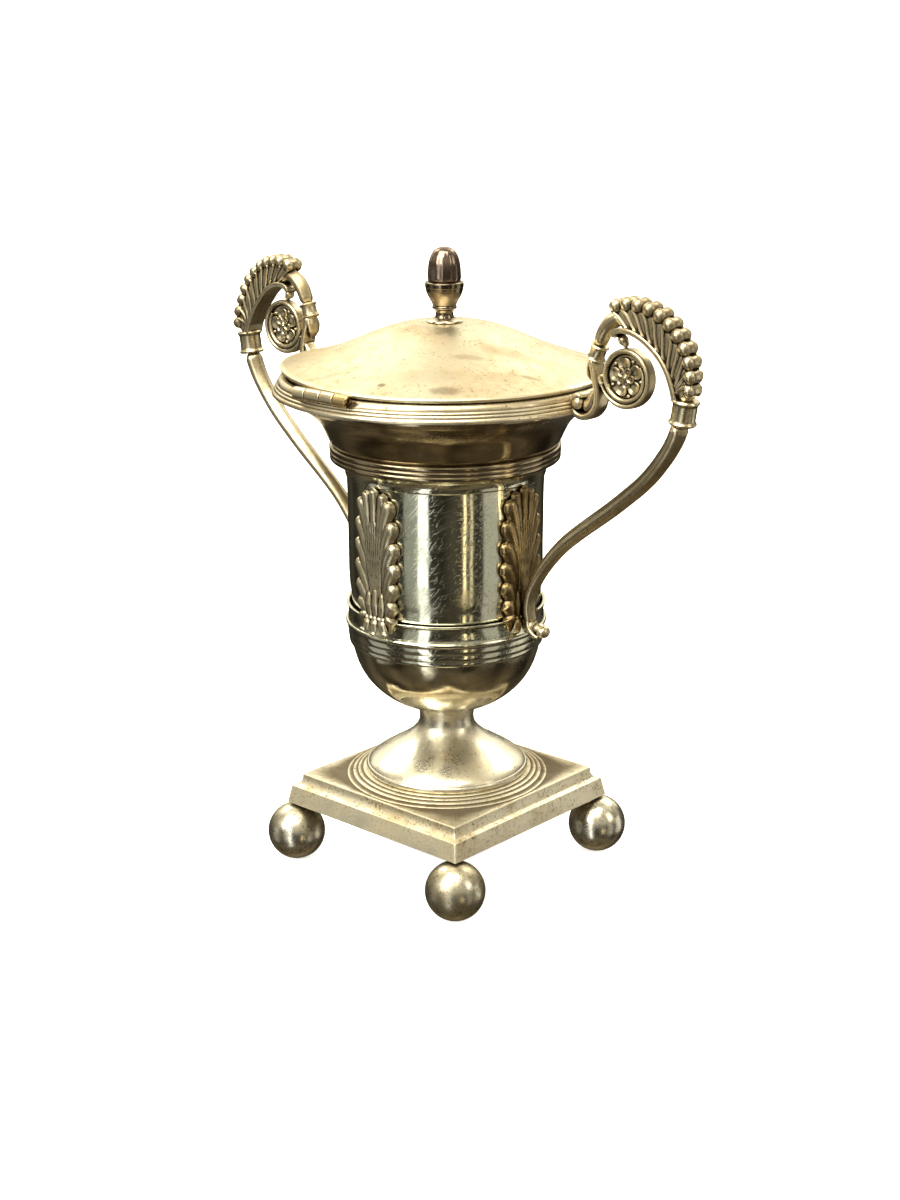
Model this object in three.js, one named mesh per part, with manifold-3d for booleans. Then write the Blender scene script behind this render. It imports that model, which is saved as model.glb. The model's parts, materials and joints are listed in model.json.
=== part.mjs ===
// Silver covered sugar bowl in the French Empire manner: a vase on a square plinth with four
// ball feet, two scrolled leaf handles and a hinged domed lid with an acorn finial.
// Millimetres, +Z up. The origin is on the table under the middle of the plinth.
// The handles lie along X, and the hinge is on the -Y side.
import * as THREE from "three";
import { mergeVertices } from "three/addons/utils/BufferGeometryUtils.js";
import Module from "manifold-3d";

const wasm = await Module();
wasm.setup();

// ---- driving dimensions ---------------------------------------------------------------
const WALL = 0.9; // sheet thickness of the raised shells
const GAP = 0.3; // solder gap between neighbouring pieces
const ROUND = 28; // facets round the large shells

const BALL_R = 7.78; // ball feet
const BALL_PAD = 0.15; // how much of each ball is worn flat underneath
const BALL_TOP = 15.3; // height of the small flat that is soldered to the plinth
const BALL_OFFSET = 28.3; // from the middle to each ball, along X and along Y

const PLINTH_HALF = 29.87; // half the side of the square plinth
const PLINTH_Z = 15.6; // underside of the plinth
const PLINTH_TOP = 23.5; // its flat top
const DAIS_TOP = 25.2; // round raised step on the plinth
const DAIS_R = 26.8;
const GUSSET_LEG = 15; // corner plates that carry the balls
const GUSSET_T = 1.2;

const ROD_R = 1.9; // tie rod that holds vase, pedestal and plinth together
const BOWL_Z = 42.6; // underside of the bowl, on top of the pedestal
const SEAM_Z = 66; // seam between lower bowl and upright body
const NECK_Z = 110; // seam between body and flared neck, under the neck ring
const RIM_Z = 124.6; // top of the neck, under the rim border
const BODY_R = 24.7; // upright body
const RIM_R = 43; // widest part of the rim border
const RIM_TOP = 129.2;
const RIM_BORE = 39.2; // mouth

const LID_R = 40.6;
const LID_Z = 129.5; // underside of the lid's edge
const LID_TOP = 141.75; // flat under the finial
const LID_FLAT = 8;
const ACORN_Z = 151.7; // top of the acorn's cup
const TOTAL = 160; // overall height, to the tip of the acorn
const STUD_R = 1.3; // screw of the finial, through the lid

const HINGE_Y = -41.6; // hinge axis, parallel to X
const HINGE_Z = 129.2;
const KNUCKLE_R = 1.5;
const PIN_R = 0.6;
const HINGE_LEFT = -9.7; // ends of the row of knuckles
const HINGE_RIGHT = 8.2;

const GALLERY_R = 25.5; // upright gallery at the foot of the body
const GALLERY_TOP = 71.2;
const PALMETTE_Z = 67; // foot of each applied palmette, which hangs over the gallery
const PALMETTE_T = 1.6;

const VOLUTE = { x: 56.5, z: 135 }; // eye of the large scroll in each handle
const ROSETTE_R = 4.1;

// ---- materials ------------------------------------------------------------------------
function metal(colour, roughness) {
  return new THREE.MeshStandardMaterial({ color: colour, roughness, metalness: 1 });
}
const POLISHED = metal("#c9bf9c", 0.18);
const SATIN = metal("#d8cfae", 0.4);
const CAST = metal("#8f8668", 0.38);
const DARK = metal("#6a5c45", 0.3);
const BRASS = metal("#c8a24a", 0.35);

// ---- helpers --------------------------------------------------------------------------
// A geometry reduced to shared positions, so that neighbouring faces join.
function bare(geometry) {
  geometry.deleteAttribute("normal");
  geometry.deleteAttribute("uv");
  return mergeVertices(geometry);
}

function solid(geometry) {
  const joined = bare(geometry);
  const index = joined.index.array;
  const corners = [];
  for (let i = 0; i < index.length; i += 3) {
    const [a, b, c] = [index[i], index[i + 1], index[i + 2]];
    if (a !== b && b !== c && c !== a) corners.push(a, b, c);
  }
  return new wasm.Manifold(new wasm.Mesh({
    numProp: 3,
    vertProperties: joined.attributes.position.array,
    triVerts: new Uint32Array(corners),
  }));
}

function mesh(name, shape, material) {
  const { vertProperties, triVerts } = shape.getMesh();
  const geometry = new THREE.BufferGeometry();
  geometry.setAttribute("position", new THREE.BufferAttribute(vertProperties, 3));
  geometry.setIndex(new THREE.BufferAttribute(triVerts, 1));
  geometry.computeVertexNormals();
  const piece = new THREE.Mesh(geometry, material);
  piece.name = name;
  return piece;
}

// A profile of [radius, height] points turned round the Z axis. Its outer side runs upwards.
function turned(profile, facets) {
  const points = profile.map(([r, z]) => new THREE.Vector2(r, z));
  return new THREE.LatheGeometry(points, facets).rotateX(Math.PI / 2);
}

function ring(profile, facets) {
  return turned([...profile, profile[0]], facets);
}

// A raised shell: the outer profile goes up and comes back down one sheet further in.
function shell(outer, facets) {
  const inner = outer.map(([r, z], i) => {
    const [r0, z0] = outer[Math.max(i - 1, 0)];
    const [r1, z1] = outer[Math.min(i + 1, outer.length - 1)];
    const length = Math.hypot(r1 - r0, z1 - z0);
    return [r - (WALL * (z1 - z0)) / length, z + (WALL * (r1 - r0)) / length];
  });
  return turned([...outer, ...inner.reverse()], facets);
}

function cylinder(radius, from, to, facets) {
  return turned([[0, from], [radius, from], [radius, to], [0, to]], facets);
}

function box(x0, x1, y0, y1, z0, z1) {
  const block = new THREE.BoxGeometry(x1 - x0, y1 - y0, z1 - z0);
  return block.translate((x0 + x1) / 2, (y0 + y1) / 2, (z0 + z1) / 2);
}

// A bar along a curve in the XZ plane. half(t) gives half its thickness in that plane and
// half its width along Y. Four sides make a flat strap, and eight a rounded rod.
function bar(points, sides, steps, half) {
  const curve = new THREE.CatmullRomCurve3(points.map(([x, z]) => new THREE.Vector3(x, 0, z)));
  const start = sides === 4 ? Math.PI / 4 : 0;
  const size = sides === 4 ? Math.SQRT2 : 1;
  const stock = bare(new THREE.CylinderGeometry(size, size, 1, sides, steps, false, start));
  const position = stock.attributes.position;
  for (let i = 0; i < position.count; i += 1) {
    const t = THREE.MathUtils.clamp(position.getY(i) + 0.5, 0, 1);
    const centre = curve.getPointAt(t);
    const tangent = curve.getTangentAt(t);
    const [thick, wide] = half(t);
    const across = position.getX(i) * thick;
    position.setXYZ(
      i,
      centre.x - tangent.z * across,
      position.getZ(i) * wide,
      centre.z + tangent.x * across,
    );
  }
  return stock;
}

function alongX(geometry, x) {
  return geometry.rotateY(Math.PI / 2).translate(x, HINGE_Y, HINGE_Z);
}

// ---- plinth and feet ------------------------------------------------------------------
function ballProfile() {
  const centre = BALL_R - BALL_PAD;
  const low = Math.asin((0 - centre) / BALL_R);
  const high = Math.asin((BALL_TOP - centre) / BALL_R);
  const steps = 8;
  const arc = [];
  for (let i = 0; i <= steps; i += 1) {
    const angle = low + ((high - low) * i) / steps;
    arc.push([BALL_R * Math.cos(angle), centre + BALL_R * Math.sin(angle)]);
  }
  arc[0][1] = 0;
  return [[0, 0], ...arc, [0, arc[steps][1]]];
}

function squareTurned(profile) {
  const corner = profile.map(([half, z]) => [half * Math.SQRT2, z]);
  return turned(corner, 4).rotateZ(Math.PI / 4);
}

function plinth() {
  const inner = PLINTH_HALF - WALL;
  const skirt = solid(squareTurned([
    [0, 22.6],
    [25.4, 22.6],
    [27.6, 19.8],
    [inner - 0.2, 19.4],
    [inner, PLINTH_Z],
    [PLINTH_HALF, PLINTH_Z],
    [29.4, 20.4],
    [28.2, 20.9],
    [27.2, 22.1],
    [26.45, PLINTH_TOP],
    [0, PLINTH_TOP],
  ]));
  const dais = solid(turned([
    [0, 23],
    [DAIS_R, 23],
    [DAIS_R, 23.8],
    [DAIS_R - 0.5, 24.3],
    [24.6, 24.3],
    [24.1, DAIS_TOP],
    [0, DAIS_TOP],
  ], ROUND));
  const hollow = solid(cylinder(23.2, 20, DAIS_TOP - WALL, ROUND));
  const hole = solid(cylinder(ROD_R + GAP, 20, 30, 16));
  return skirt.add(dais).subtract(hollow).subtract(hole);
}

function gusset() {
  const outline = new THREE.Shape();
  outline.moveTo(0, 0);
  outline.lineTo(-GUSSET_LEG, 0);
  outline.lineTo(0, -GUSSET_LEG);
  return solid(new THREE.ExtrudeGeometry(outline, { depth: GUSSET_T, bevelEnabled: false }));
}

function pedestal() {
  return ring([
    [20.6, DAIS_TOP],
    [21.14, 26.2],
    [21.14, 27],
    [19, 28.6],
    [15, 31],
    [11, 33.5],
    [8.4, 35.9],
    [7.3, 37.5],
    [7.06, 39.2],
    [7.7, BOWL_Z],
    [6.4, BOWL_Z],
    [6.1, 39.2],
    [6.4, 37.1],
    [7.6, 35.1],
    [14.2, 30.1],
    [19.6, 26.6],
    [19.6, DAIS_TOP],
  ], 24);
}

function nut(radius, bore, from, to) {
  const blank = solid(cylinder(radius, from, to, 6));
  return blank.subtract(solid(cylinder(bore, from - 1, to + 1, 16)));
}

function base(group) {
  for (const [name, x, y] of [["front_right", 1, -1], ["back_right", 1, 1],
    ["back_left", -1, 1], ["front_left", -1, -1]]) {
    const ball = mesh(`ball_foot_${name}`, solid(turned(ballProfile(), 14)), SATIN);
    ball.position.set(x * BALL_OFFSET, y * BALL_OFFSET, 0);
    const plate = mesh(`corner_gusset_${name}`, gusset(), SATIN);
    const corner = PLINTH_HALF - WALL - GAP;
    plate.position.set(x * corner, y * corner, PLINTH_Z);
    plate.rotation.z = Math.atan2(y, x) - Math.PI / 4;
    group.add(ball, plate);
  }
  group.add(mesh("plinth", plinth(), SATIN));
  group.add(mesh("pedestal", solid(pedestal()), POLISHED));
  group.add(mesh("tie_rod", solid(cylinder(ROD_R, 19.5, BOWL_Z, 12)), CAST));
  const washer = [[ROD_R + GAP, 23.3], [6, 23.3], [6, 24.3], [ROD_R + GAP, 24.3]];
  group.add(mesh("tie_washer", solid(ring(washer, 16)), CAST));
  group.add(mesh("tie_nut", nut(4.1, ROD_R + GAP, 20.8, 23.3), CAST));
}

// ---- vase -----------------------------------------------------------------------------
function lowerBowl() {
  return shell([
    [0, BOWL_Z],
    [7.7, BOWL_Z],
    [12, 44.2],
    [16.6, 46.9],
    [20.2, 50.4],
    [22.5, 54.2],
    [23.8, 58],
    [24.3, 61],
    [24.3, SEAM_Z],
  ], ROUND);
}

const BODY_OUTSIDE = [
  [24, SEAM_Z],
  [23.2, 67.8],
  [23.2, 69.5],
  [24.2, 74],
  [BODY_R, 78],
  [BODY_R, 100],
  [25.2, 104.8],
  [26.2, 106.8],
  [27.6, 108.2],
  [27.8, NECK_Z],
];

function body() {
  const inner = BODY_OUTSIDE.map(([r, z]) => [r - WALL, z]).reverse();
  return ring([...BODY_OUTSIDE, ...inner], ROUND);
}

function bodyRadius(z) {
  const i = BODY_OUTSIDE.findIndex((point) => point[1] >= z);
  const [r0, z0] = BODY_OUTSIDE[i - 1];
  const [r1, z1] = BODY_OUTSIDE[i];
  return THREE.MathUtils.mapLinear(z, z0, z1, r0, r1);
}

function neck() {
  return ring([
    [27.8, NECK_Z],
    [28, 112],
    [28.9, 113.4],
    [30.4, 116.6],
    [33.1, 119.9],
    [36.8, 122.6],
    [40.2, 124.1],
    [40.2, RIM_Z],
    [38.6, RIM_Z],
    [35.9, 123.3],
    [32.2, 120.5],
    [29.4, 116.9],
    [27.9, 113.7],
    [26.9, NECK_Z],
  ], ROUND);
}

// Reeds are half-round beads, drawn here as low ridges between two points of a profile.
function reeded(from, to, count, height) {
  const [dr, dz] = [(to[0] - from[0]) / count, (to[1] - from[1]) / count];
  const length = Math.hypot(dr, dz);
  const points = [from];
  for (let i = 0; i < count; i += 1) {
    const [r, z] = [from[0] + dr * i, from[1] + dz * i];
    points.push([r + dr / 2 + (height * dz) / length, z + dz / 2 - (height * dr) / length]);
    points.push([r + dr, z + dz]);
  }
  return points;
}

function bowlMoulding() {
  return ring([
    [24.3 + GAP, 60.6],
    ...reeded([25.1, 60.6], [25.3, 65.8], 3, 0.3),
    [25.75, 66],
    [25.75, 66.7],
    [24.3 + GAP, 66.7],
  ], ROUND);
}

function galleryRing() {
  return ring([
    [24.3, 66.7],
    [GALLERY_R, 66.7],
    [GALLERY_R, GALLERY_TOP],
    [24.9, GALLERY_TOP],
    [24.9, 67.3],
    [24.3, 67.3],
  ], ROUND);
}

function neckRing() {
  return ring([[28.3, 108.2], ...reeded([28.8, 108.2], [28.8, 112], 3, 0.35), [28.3, 112]], ROUND);
}

function hingeClearance() {
  const length = HINGE_RIGHT - HINGE_LEFT + 2 * GAP;
  const bore = cylinder(KNUCKLE_R + GAP, -length / 2, length / 2, 16);
  return solid(alongX(bore, (HINGE_LEFT + HINGE_RIGHT) / 2));
}

function rimBorder() {
  const section = [
    [RIM_BORE, RIM_Z + GAP],
    [42.4, RIM_Z + GAP],
    [RIM_R, 125.6],
    ...reeded([RIM_R - 0.3, 126.2], [40.6, 129], 3, 0.2),
    [40.2, RIM_TOP],
    [RIM_BORE, RIM_TOP],
  ];
  const seat = solid(box(LID_R, RIM_R + 1, -3, 3, RIM_Z - 1, RIM_TOP + 1));
  const otherSeat = solid(box(-RIM_R - 1, -LID_R, -3, 3, RIM_Z - 1, RIM_TOP + 1));
  return solid(ring(section, ROUND)).subtract(hingeClearance()).subtract(seat).subtract(otherSeat);
}

// ---- palmettes ------------------------------------------------------------------------
// Half widths of the leaf at heights above its foot.
const PALMETTE_OUTLINE = [
  [0, 3.2],
  [4.6, 4.7],
  [5.4, 5],
  [9, 6.6],
  [14, 7.7],
  [20, 8.1],
  [26, 8],
  [31, 7.4],
  [35, 5.8],
  [37.8, 3.4],
  [39.5, 0.6],
];

function palmette() {
  const columns = 4;
  const rows = PALMETTE_OUTLINE.length - 1;
  const stock = bare(new THREE.BoxGeometry(2, 1, 1, columns, rows, 1));
  const position = stock.attributes.position;
  for (let i = 0; i < position.count; i += 1) {
    const row = Math.round((position.getY(i) + 0.5) * rows);
    const [height, half] = PALMETTE_OUTLINE[row];
    const z = PALMETTE_Z + height;
    const under = z < GALLERY_TOP + 0.5 ? GALLERY_R : Math.max(BODY_R, bodyRadius(z));
    const radius = under + GAP + (position.getZ(i) > 0 ? PALMETTE_T : 0);
    const angle = (position.getX(i) * half) / BODY_R;
    position.setXYZ(i, radius * Math.cos(angle), radius * Math.sin(angle), z);
  }
  return solid(stock);
}

// ---- handles --------------------------------------------------------------------------
const ROD_PATH = [
  [28.8, 71],
  [27.9, 74.2],
  [28.9, 79],
  [32.1, 85],
  [37.6, 91.8],
  [46.6, 99.4],
  [55.6, 106.8],
  [62.6, 113.6],
  [67.3, 119.9],
  [69.8, 125.3],
];

function rod(clearance) {
  return solid(bar(ROD_PATH, 8, 16, (t) => {
    const half = THREE.MathUtils.lerp(1.75, 2.4, t) + clearance;
    return [half, half];
  }));
}

function foot() {
  const path = [[27.9, 68.9], [29.4, 68.6], [31.2, 67.4], [33, 67.9]];
  const scroll = solid(bar(path, 8, 6, () => [1.3, 1.9]));
  const knob = solid(new THREE.SphereGeometry(1.8, 10, 7).translate(32.6, 0, 68.9));
  return scroll.add(knob);
}

function collar(length, end, middle, from, to) {
  const profile = [
    [0, 0],
    [end, 0],
    [end, 0.9],
    [middle, 1.2],
    [middle, length - 1.2],
    [end, length - 0.9],
    [end, length],
    [0, length],
  ];
  const tilt = Math.atan2(to[0] - from[0], to[1] - from[1]);
  return solid(turned(profile, 12).rotateY(tilt).translate(from[0], 0, from[1]));
}

function leafCurl() {
  const path = [
    [71.3, 132.1],
    [72, 136],
    [71.1, 140],
    [68.9, 144],
    [65, 147.4],
    [60.2, 149.2],
    [55.4, 149.8],
    [52.2, 149.8],
  ];
  return solid(bar(path, 8, 12, (t) => {
    const swell = Math.sin(Math.PI * Math.min(1, 0.3 + 0.62 * t) ** 0.9);
    return [1.3 + 3.1 * Math.max(swell, 0.1), 2.9];
  }));
}

function arm() {
  return solid(bar([[50.9, 147], [49.9, 145.2], [49, 143.2], [48.4, 141.9]], 8, 4, () => [1.9, 1.9]));
}

function strap() {
  const path = [
    [46.8, 137.8],
    [47.6, 135],
    [48.4, 132.2],
    [48.9, 129],
    [47.8, 126.3],
    [45.2, 124.8],
    [42.8, 125.4],
    [41.9, 127.6],
    [43, 129.3],
    [44.3, 128.4],
  ];
  return solid(bar(path, 4, 18, (t) => [0.85 - 0.2 * t, 2.5]));
}

function volute() {
  const turns = 1.06;
  const first = (205 * Math.PI) / 180;
  const steps = 14;
  const path = [];
  for (let i = 0; i <= steps; i += 1) {
    const along = (turns * i) / steps;
    const radius = 6.95 - 1.9 * along;
    const angle = first + along * 2 * Math.PI;
    path.push([VOLUTE.x + radius * Math.cos(angle), VOLUTE.z + radius * Math.sin(angle)]);
  }
  return solid(bar(path, 4, 24, () => [0.65, 1.6]));
}

function rosette() {
  const profile = [[0, -1.75], [2, -1.6], [ROSETTE_R, -0.7], [ROSETTE_R, 0.7], [2, 1.6], [0, 1.75]];
  return solid(turned(profile, 12).rotateX(Math.PI / 2).translate(VOLUTE.x, 0, VOLUTE.z));
}

function handle(side, turn) {
  const group = new THREE.Group();
  group.rotation.z = turn;
  const pieces = {
    rod: rod(0),
    foot: foot(),
    collar: collar(5.3, 3.15, 2.8, [70.4, 126.4], [71.2, 131.7]),
    leaf: leafCurl(),
    arm: arm(),
    arm_collar: collar(3.3, 2.4, 1.9, [47.05, 138.2], [48.2, 141.3]),
    strap: strap(),
    volute: volute(),
    rosette: rosette(),
  };
  for (const [name, shape] of Object.entries(pieces)) {
    group.add(mesh(`handle_${name}_${side}`, shape, CAST));
  }
  return group;
}

// ---- lid and hinge --------------------------------------------------------------------
function lid() {
  const dome = solid(turned([
    [0, LID_TOP - WALL],
    [LID_FLAT, LID_TOP - WALL],
    [13, 140],
    [18, 137.9],
    [23, 135.4],
    [29, 132.8],
    [39, 130.1],
    [39.3, LID_Z],
    [40.2, LID_Z],
    [LID_R, 130.1],
    [40.2, 130.7],
    [35, 132],
    [29, 133.8],
    [23, 136.4],
    [18, 138.9],
    [13, 140.9],
    [LID_FLAT, LID_TOP],
    [0, LID_TOP],
  ], ROUND));
  const hole = solid(cylinder(STUD_R + GAP, LID_TOP - 5, LID_TOP + 5, 12));
  return dome.subtract(hole).subtract(hingeClearance());
}

function bezel() {
  return solid(ring([[37.6, 127], [38.4, 127], [38.4, 129.9], [37.6, 129.9]], ROUND));
}

function finialSeat() {
  const top = LID_TOP + 1.15;
  const disc = turned([[0, LID_TOP], [4.3, LID_TOP], [4.5, 142.2], [3.4, top], [0, top]], 16);
  return solid(disc).add(solid(cylinder(STUD_R, 138.4, LID_TOP + 0.5, 12)));
}

function finialCup() {
  return solid(turned([
    [0, LID_TOP + 1.15],
    [2.5, LID_TOP + 1.15],
    [2.3, 144.3],
    [2.95, 145.3],
    [3.3, 146.9],
    [4.3, 148.6],
    [4.75, 150.2],
    [4.75, 151.4],
    [4.4, ACORN_Z],
    [0, ACORN_Z],
  ], 16));
}

function acorn() {
  return solid(turned([
    [0, ACORN_Z],
    [4.15, ACORN_Z],
    [4.15, 153.6],
    [3.9, 156],
    [3.1, 158.3],
    [1.7, 159.7],
    [0, TOTAL],
  ], 16));
}

function knuckle(from, to) {
  const half = (to - from) / 2;
  const bore = PIN_R + GAP;
  const tube = ring([[bore, -half], [KNUCKLE_R, -half], [KNUCKLE_R, half], [bore, half]], 12);
  return solid(alongX(tube, (from + to) / 2));
}

function hinge(group) {
  const names = ["rim_outer", "lid_inner", "rim_inner", "lid_end"];
  const joints = [HINGE_LEFT, -5.6, -0.6, 3.8, HINGE_RIGHT];
  names.forEach((name, i) => {
    const from = joints[i] + (i > 0 ? GAP / 2 : 0);
    const to = joints[i + 1] - (i < names.length - 1 ? GAP / 2 : 0);
    group.add(mesh(`hinge_knuckle_${name}`, knuckle(from, to), name === "lid_end" ? BRASS : SATIN));
  });
  const length = HINGE_RIGHT - HINGE_LEFT;
  const pin = alongX(cylinder(PIN_R, -length / 2, length / 2, 10), (HINGE_LEFT + HINGE_RIGHT) / 2);
  group.add(mesh("hinge_pin", solid(pin), BRASS));
}

// ---- assembly -------------------------------------------------------------------------
const bowl = new THREE.Group();
base(bowl);
bowl.add(mesh("lower_bowl", solid(lowerBowl()), POLISHED));
bowl.add(mesh("bowl_moulding", solid(bowlMoulding()), POLISHED));
bowl.add(mesh("gallery_ring", solid(galleryRing()), POLISHED));
bowl.add(mesh("body", solid(body()), POLISHED));
bowl.add(mesh("neck", solid(neck()), POLISHED));
bowl.add(mesh("neck_ring", solid(neckRing()), POLISHED));
bowl.add(mesh("rim_border", rimBorder(), SATIN));

const rodSpace = rod(GAP);
const palmetteUnderHandle = palmette().subtract(rodSpace);
[["right", palmetteUnderHandle], ["back", palmette()], ["left", palmetteUnderHandle],
  ["front", palmette()]].forEach(([side, leaf], quarter) => {
  const piece = mesh(`palmette_${side}`, leaf, CAST);
  piece.rotation.z = (quarter * Math.PI) / 2;
  bowl.add(piece);
});

bowl.add(handle("right", 0), handle("left", Math.PI));
bowl.add(mesh("lid", lid(), SATIN));
bowl.add(mesh("lid_bezel", bezel(), POLISHED));
bowl.add(mesh("finial_seat", finialSeat(), SATIN));
bowl.add(mesh("finial_nut", nut(3.3, STUD_R + GAP, 139.3, LID_TOP - WALL), CAST));
bowl.add(mesh("finial_cup", finialCup(), DARK));
bowl.add(mesh("finial_acorn", acorn(), DARK));
hinge(bowl);

export default bowl;
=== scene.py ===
import json
import math

import bmesh
import bpy
import numpy as np
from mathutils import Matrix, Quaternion, Vector, noise


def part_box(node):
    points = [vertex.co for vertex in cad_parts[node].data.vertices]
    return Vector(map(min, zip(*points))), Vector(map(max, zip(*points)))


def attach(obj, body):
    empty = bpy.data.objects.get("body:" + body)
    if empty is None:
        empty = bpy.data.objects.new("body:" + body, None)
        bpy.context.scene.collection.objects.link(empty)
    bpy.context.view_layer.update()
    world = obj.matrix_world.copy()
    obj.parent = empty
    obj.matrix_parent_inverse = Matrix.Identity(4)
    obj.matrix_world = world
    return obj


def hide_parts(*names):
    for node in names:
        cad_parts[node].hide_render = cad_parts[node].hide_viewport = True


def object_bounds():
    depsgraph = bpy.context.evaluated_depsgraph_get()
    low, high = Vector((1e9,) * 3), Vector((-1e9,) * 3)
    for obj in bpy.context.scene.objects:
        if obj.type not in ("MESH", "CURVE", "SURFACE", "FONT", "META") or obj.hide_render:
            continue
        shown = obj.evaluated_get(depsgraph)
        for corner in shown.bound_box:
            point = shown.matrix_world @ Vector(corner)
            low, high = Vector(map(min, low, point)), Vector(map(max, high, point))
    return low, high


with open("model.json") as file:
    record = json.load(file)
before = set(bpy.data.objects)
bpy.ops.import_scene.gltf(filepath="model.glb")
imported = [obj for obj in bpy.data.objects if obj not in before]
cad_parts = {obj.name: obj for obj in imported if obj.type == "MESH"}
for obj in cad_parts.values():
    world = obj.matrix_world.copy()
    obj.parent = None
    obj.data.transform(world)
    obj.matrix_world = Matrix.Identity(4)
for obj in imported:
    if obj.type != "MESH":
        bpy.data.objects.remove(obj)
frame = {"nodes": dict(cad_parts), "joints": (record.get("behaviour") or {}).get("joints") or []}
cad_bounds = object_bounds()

MM = 0.001
TAU = 2 * math.pi
FACETS = 192  # round the large turned pieces
FINE = 64  # round the small ones
WALL = 0.9  # sheet thickness of the raised shells
VIEW_AZIMUTH = 42.33  # of the camera, from the hinge side towards the right-hand handle


def low(node):
    return np.array(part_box(node)[0]) / MM


def high(node):
    return np.array(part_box(node)[1]) / MM


def foot(node):
    return low(node)[2]


def tall(node):
    return high(node)[2] - foot(node)


# ---- curves ---------------------------------------------------------------------------
def smooth(points, per=6):
    """Points along a smooth curve through the given ones."""
    p = np.array(points, dtype=float)
    p = np.vstack([2 * p[0] - p[1], p, 2 * p[-1] - p[-2]])
    out = []
    for a, b, c, d in zip(p[:-3], p[1:-2], p[2:-1], p[3:]):
        k0, k1, k2 = (max(np.linalg.norm(v - u), 1e-9) ** 0.5 for u, v in ((a, b), (b, c), (c, d)))
        m1 = (c - b) + k1 * ((b - a) / k0 - (c - a) / (k0 + k1))
        m2 = (c - b) + k1 * ((d - c) / k2 - (d - b) / (k1 + k2))
        for t in np.arange(per) / per:
            h = np.array([2 * t**3 - 3 * t**2 + 1, t**3 - 2 * t**2 + t, 3 * t**2 - 2 * t**3, t**3 - t**2])
            out.append(h[0] * b + h[1] * m1 + h[2] * c + h[3] * m2)
    out.append(p[-2])
    return np.array(out)


def profile(start, *strokes):
    """One outline from strokes that meet at crisp corners. Each stroke goes on from where the last
    one ended: straight when it has one more point, else as a smooth curve."""
    points = [np.array(start, dtype=float)]
    for stroke in strokes:
        through = [points[-1], *stroke]
        points.extend(through[1:] if len(through) == 2 else smooth(through)[1:])
    return np.array(points, dtype=float)


def directions(line):
    tangent = np.gradient(line, axis=0)
    return tangent / np.linalg.norm(tangent, axis=1)[:, None]


def walked(line):
    """The distance walked along a line at each of its points."""
    return np.concatenate([[0], np.cumsum(np.linalg.norm(np.diff(line, axis=0), axis=1))])


def spread(values, count):
    """A number, or a list spread evenly over a path of count points."""
    return np.interp(np.linspace(0, 1, count), np.linspace(0, 1, np.size(values)), np.atleast_1d(values))


def upright(line):
    """(x, z) points of the handle's plane, in space."""
    return np.insert(np.asarray(line, dtype=float), 1, 0.0, axis=1)


def inside(outer):
    """The same outline one wall further in, in the opposite order."""
    tangent = directions(outer)
    inner = outer + WALL * np.column_stack([-tangent[:, 1], tangent[:, 0]])
    inner[outer[:, 0] < 1e-6, 0] = 0
    return inner[::-1]


def reeds(start, end, widths, swell):
    """Half-round beads side by side from start to end, with a fine groove between them."""
    start, end = np.array(start, dtype=float), np.array(end, dtype=float)
    along = end - start
    out = np.array([along[1], -along[0]]) / np.linalg.norm(along)
    edges = np.cumsum([0, *widths]) / sum(widths)
    points = []
    for a, b in zip(edges[:-1], edges[1:]):
        for t in np.linspace(0.04, 0.96, 9):
            height = swell * math.sin(math.pi * t) ** 0.6
            points.append(start + along * (a + (b - a) * t) + out * height)
    return [tuple(p) for p in points]


# ---- shells and bars ------------------------------------------------------------------
def turned(outline, facets=FACETS, closed=True, angles=None, squares=None):
    """(points, faces) of an outline of (radius, height) turned round Z. Its outer side runs up.
    squares gives, for each point, how far its ring is a square instead of a circle."""
    outline = np.asarray(outline, dtype=float)
    n = len(outline)
    if angles is None:
        angles = np.arange(facets) * TAU / facets
    m = len(angles)
    c, s = np.cos(angles)[:, None], np.sin(angles)[:, None]
    radius = np.repeat(outline[None, :, 0], m, axis=0)
    if squares is not None:
        corner = (abs(c) ** 240 + abs(s) ** 240) ** (-1 / 240)
        radius = radius * (1 + squares[None, :] * (corner - 1))
    points = np.stack([radius * c, radius * s, np.repeat(outline[None, :, 1], m, axis=0)], axis=2)
    faces = []
    for j in range(m):
        k = (j + 1) % m
        for i in range(n if closed else n - 1):
            h = (i + 1) % n
            faces.append((j * n + i, k * n + i, k * n + h, j * n + h))
    return points.reshape(-1, 3), faces


def bands(rings, count):
    """The faces between rings of count points each."""
    return [
        (i * count + j, i * count + (j + 1) % count, (i + 1) * count + (j + 1) % count, (i + 1) * count + j)
        for i in range(rings - 1)
        for j in range(count)
    ]


def caps(rings, count):
    """The faces that close the first and the last ring."""
    return [tuple(range(count)), tuple((rings - 1) * count + j for j in range(count))]


def tube(path, sections, up=(0.0, 1.0, 0.0)):
    """(points, faces) of a bar: sections[i] is a ring of (across, up) offsets at path[i]."""
    path, sections = np.asarray(path, dtype=float), np.asarray(sections, dtype=float)
    across = np.cross(np.array(up), directions(path))
    across /= np.linalg.norm(across, axis=1)[:, None]
    rings = path[:, None] + sections[..., :1] * across[:, None] + sections[..., 1:] * np.array(up)
    n, k = rings.shape[:2]
    return rings.reshape(-1, 3), bands(n, k) + caps(n, k)


def oval(across, up, sides=20, round_across=2.0, round_up=2.0):
    """A ring of (across, up) offsets. A roundness near 1 makes that tip a ridge."""
    a = np.arange(sides) * TAU / sides
    c, s = np.cos(a), np.sin(a)
    return np.column_stack([
        across * np.sign(c) * abs(c) ** (2 / round_across),
        up * np.sign(s) * abs(s) ** (2 / round_up),
    ])


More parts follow.
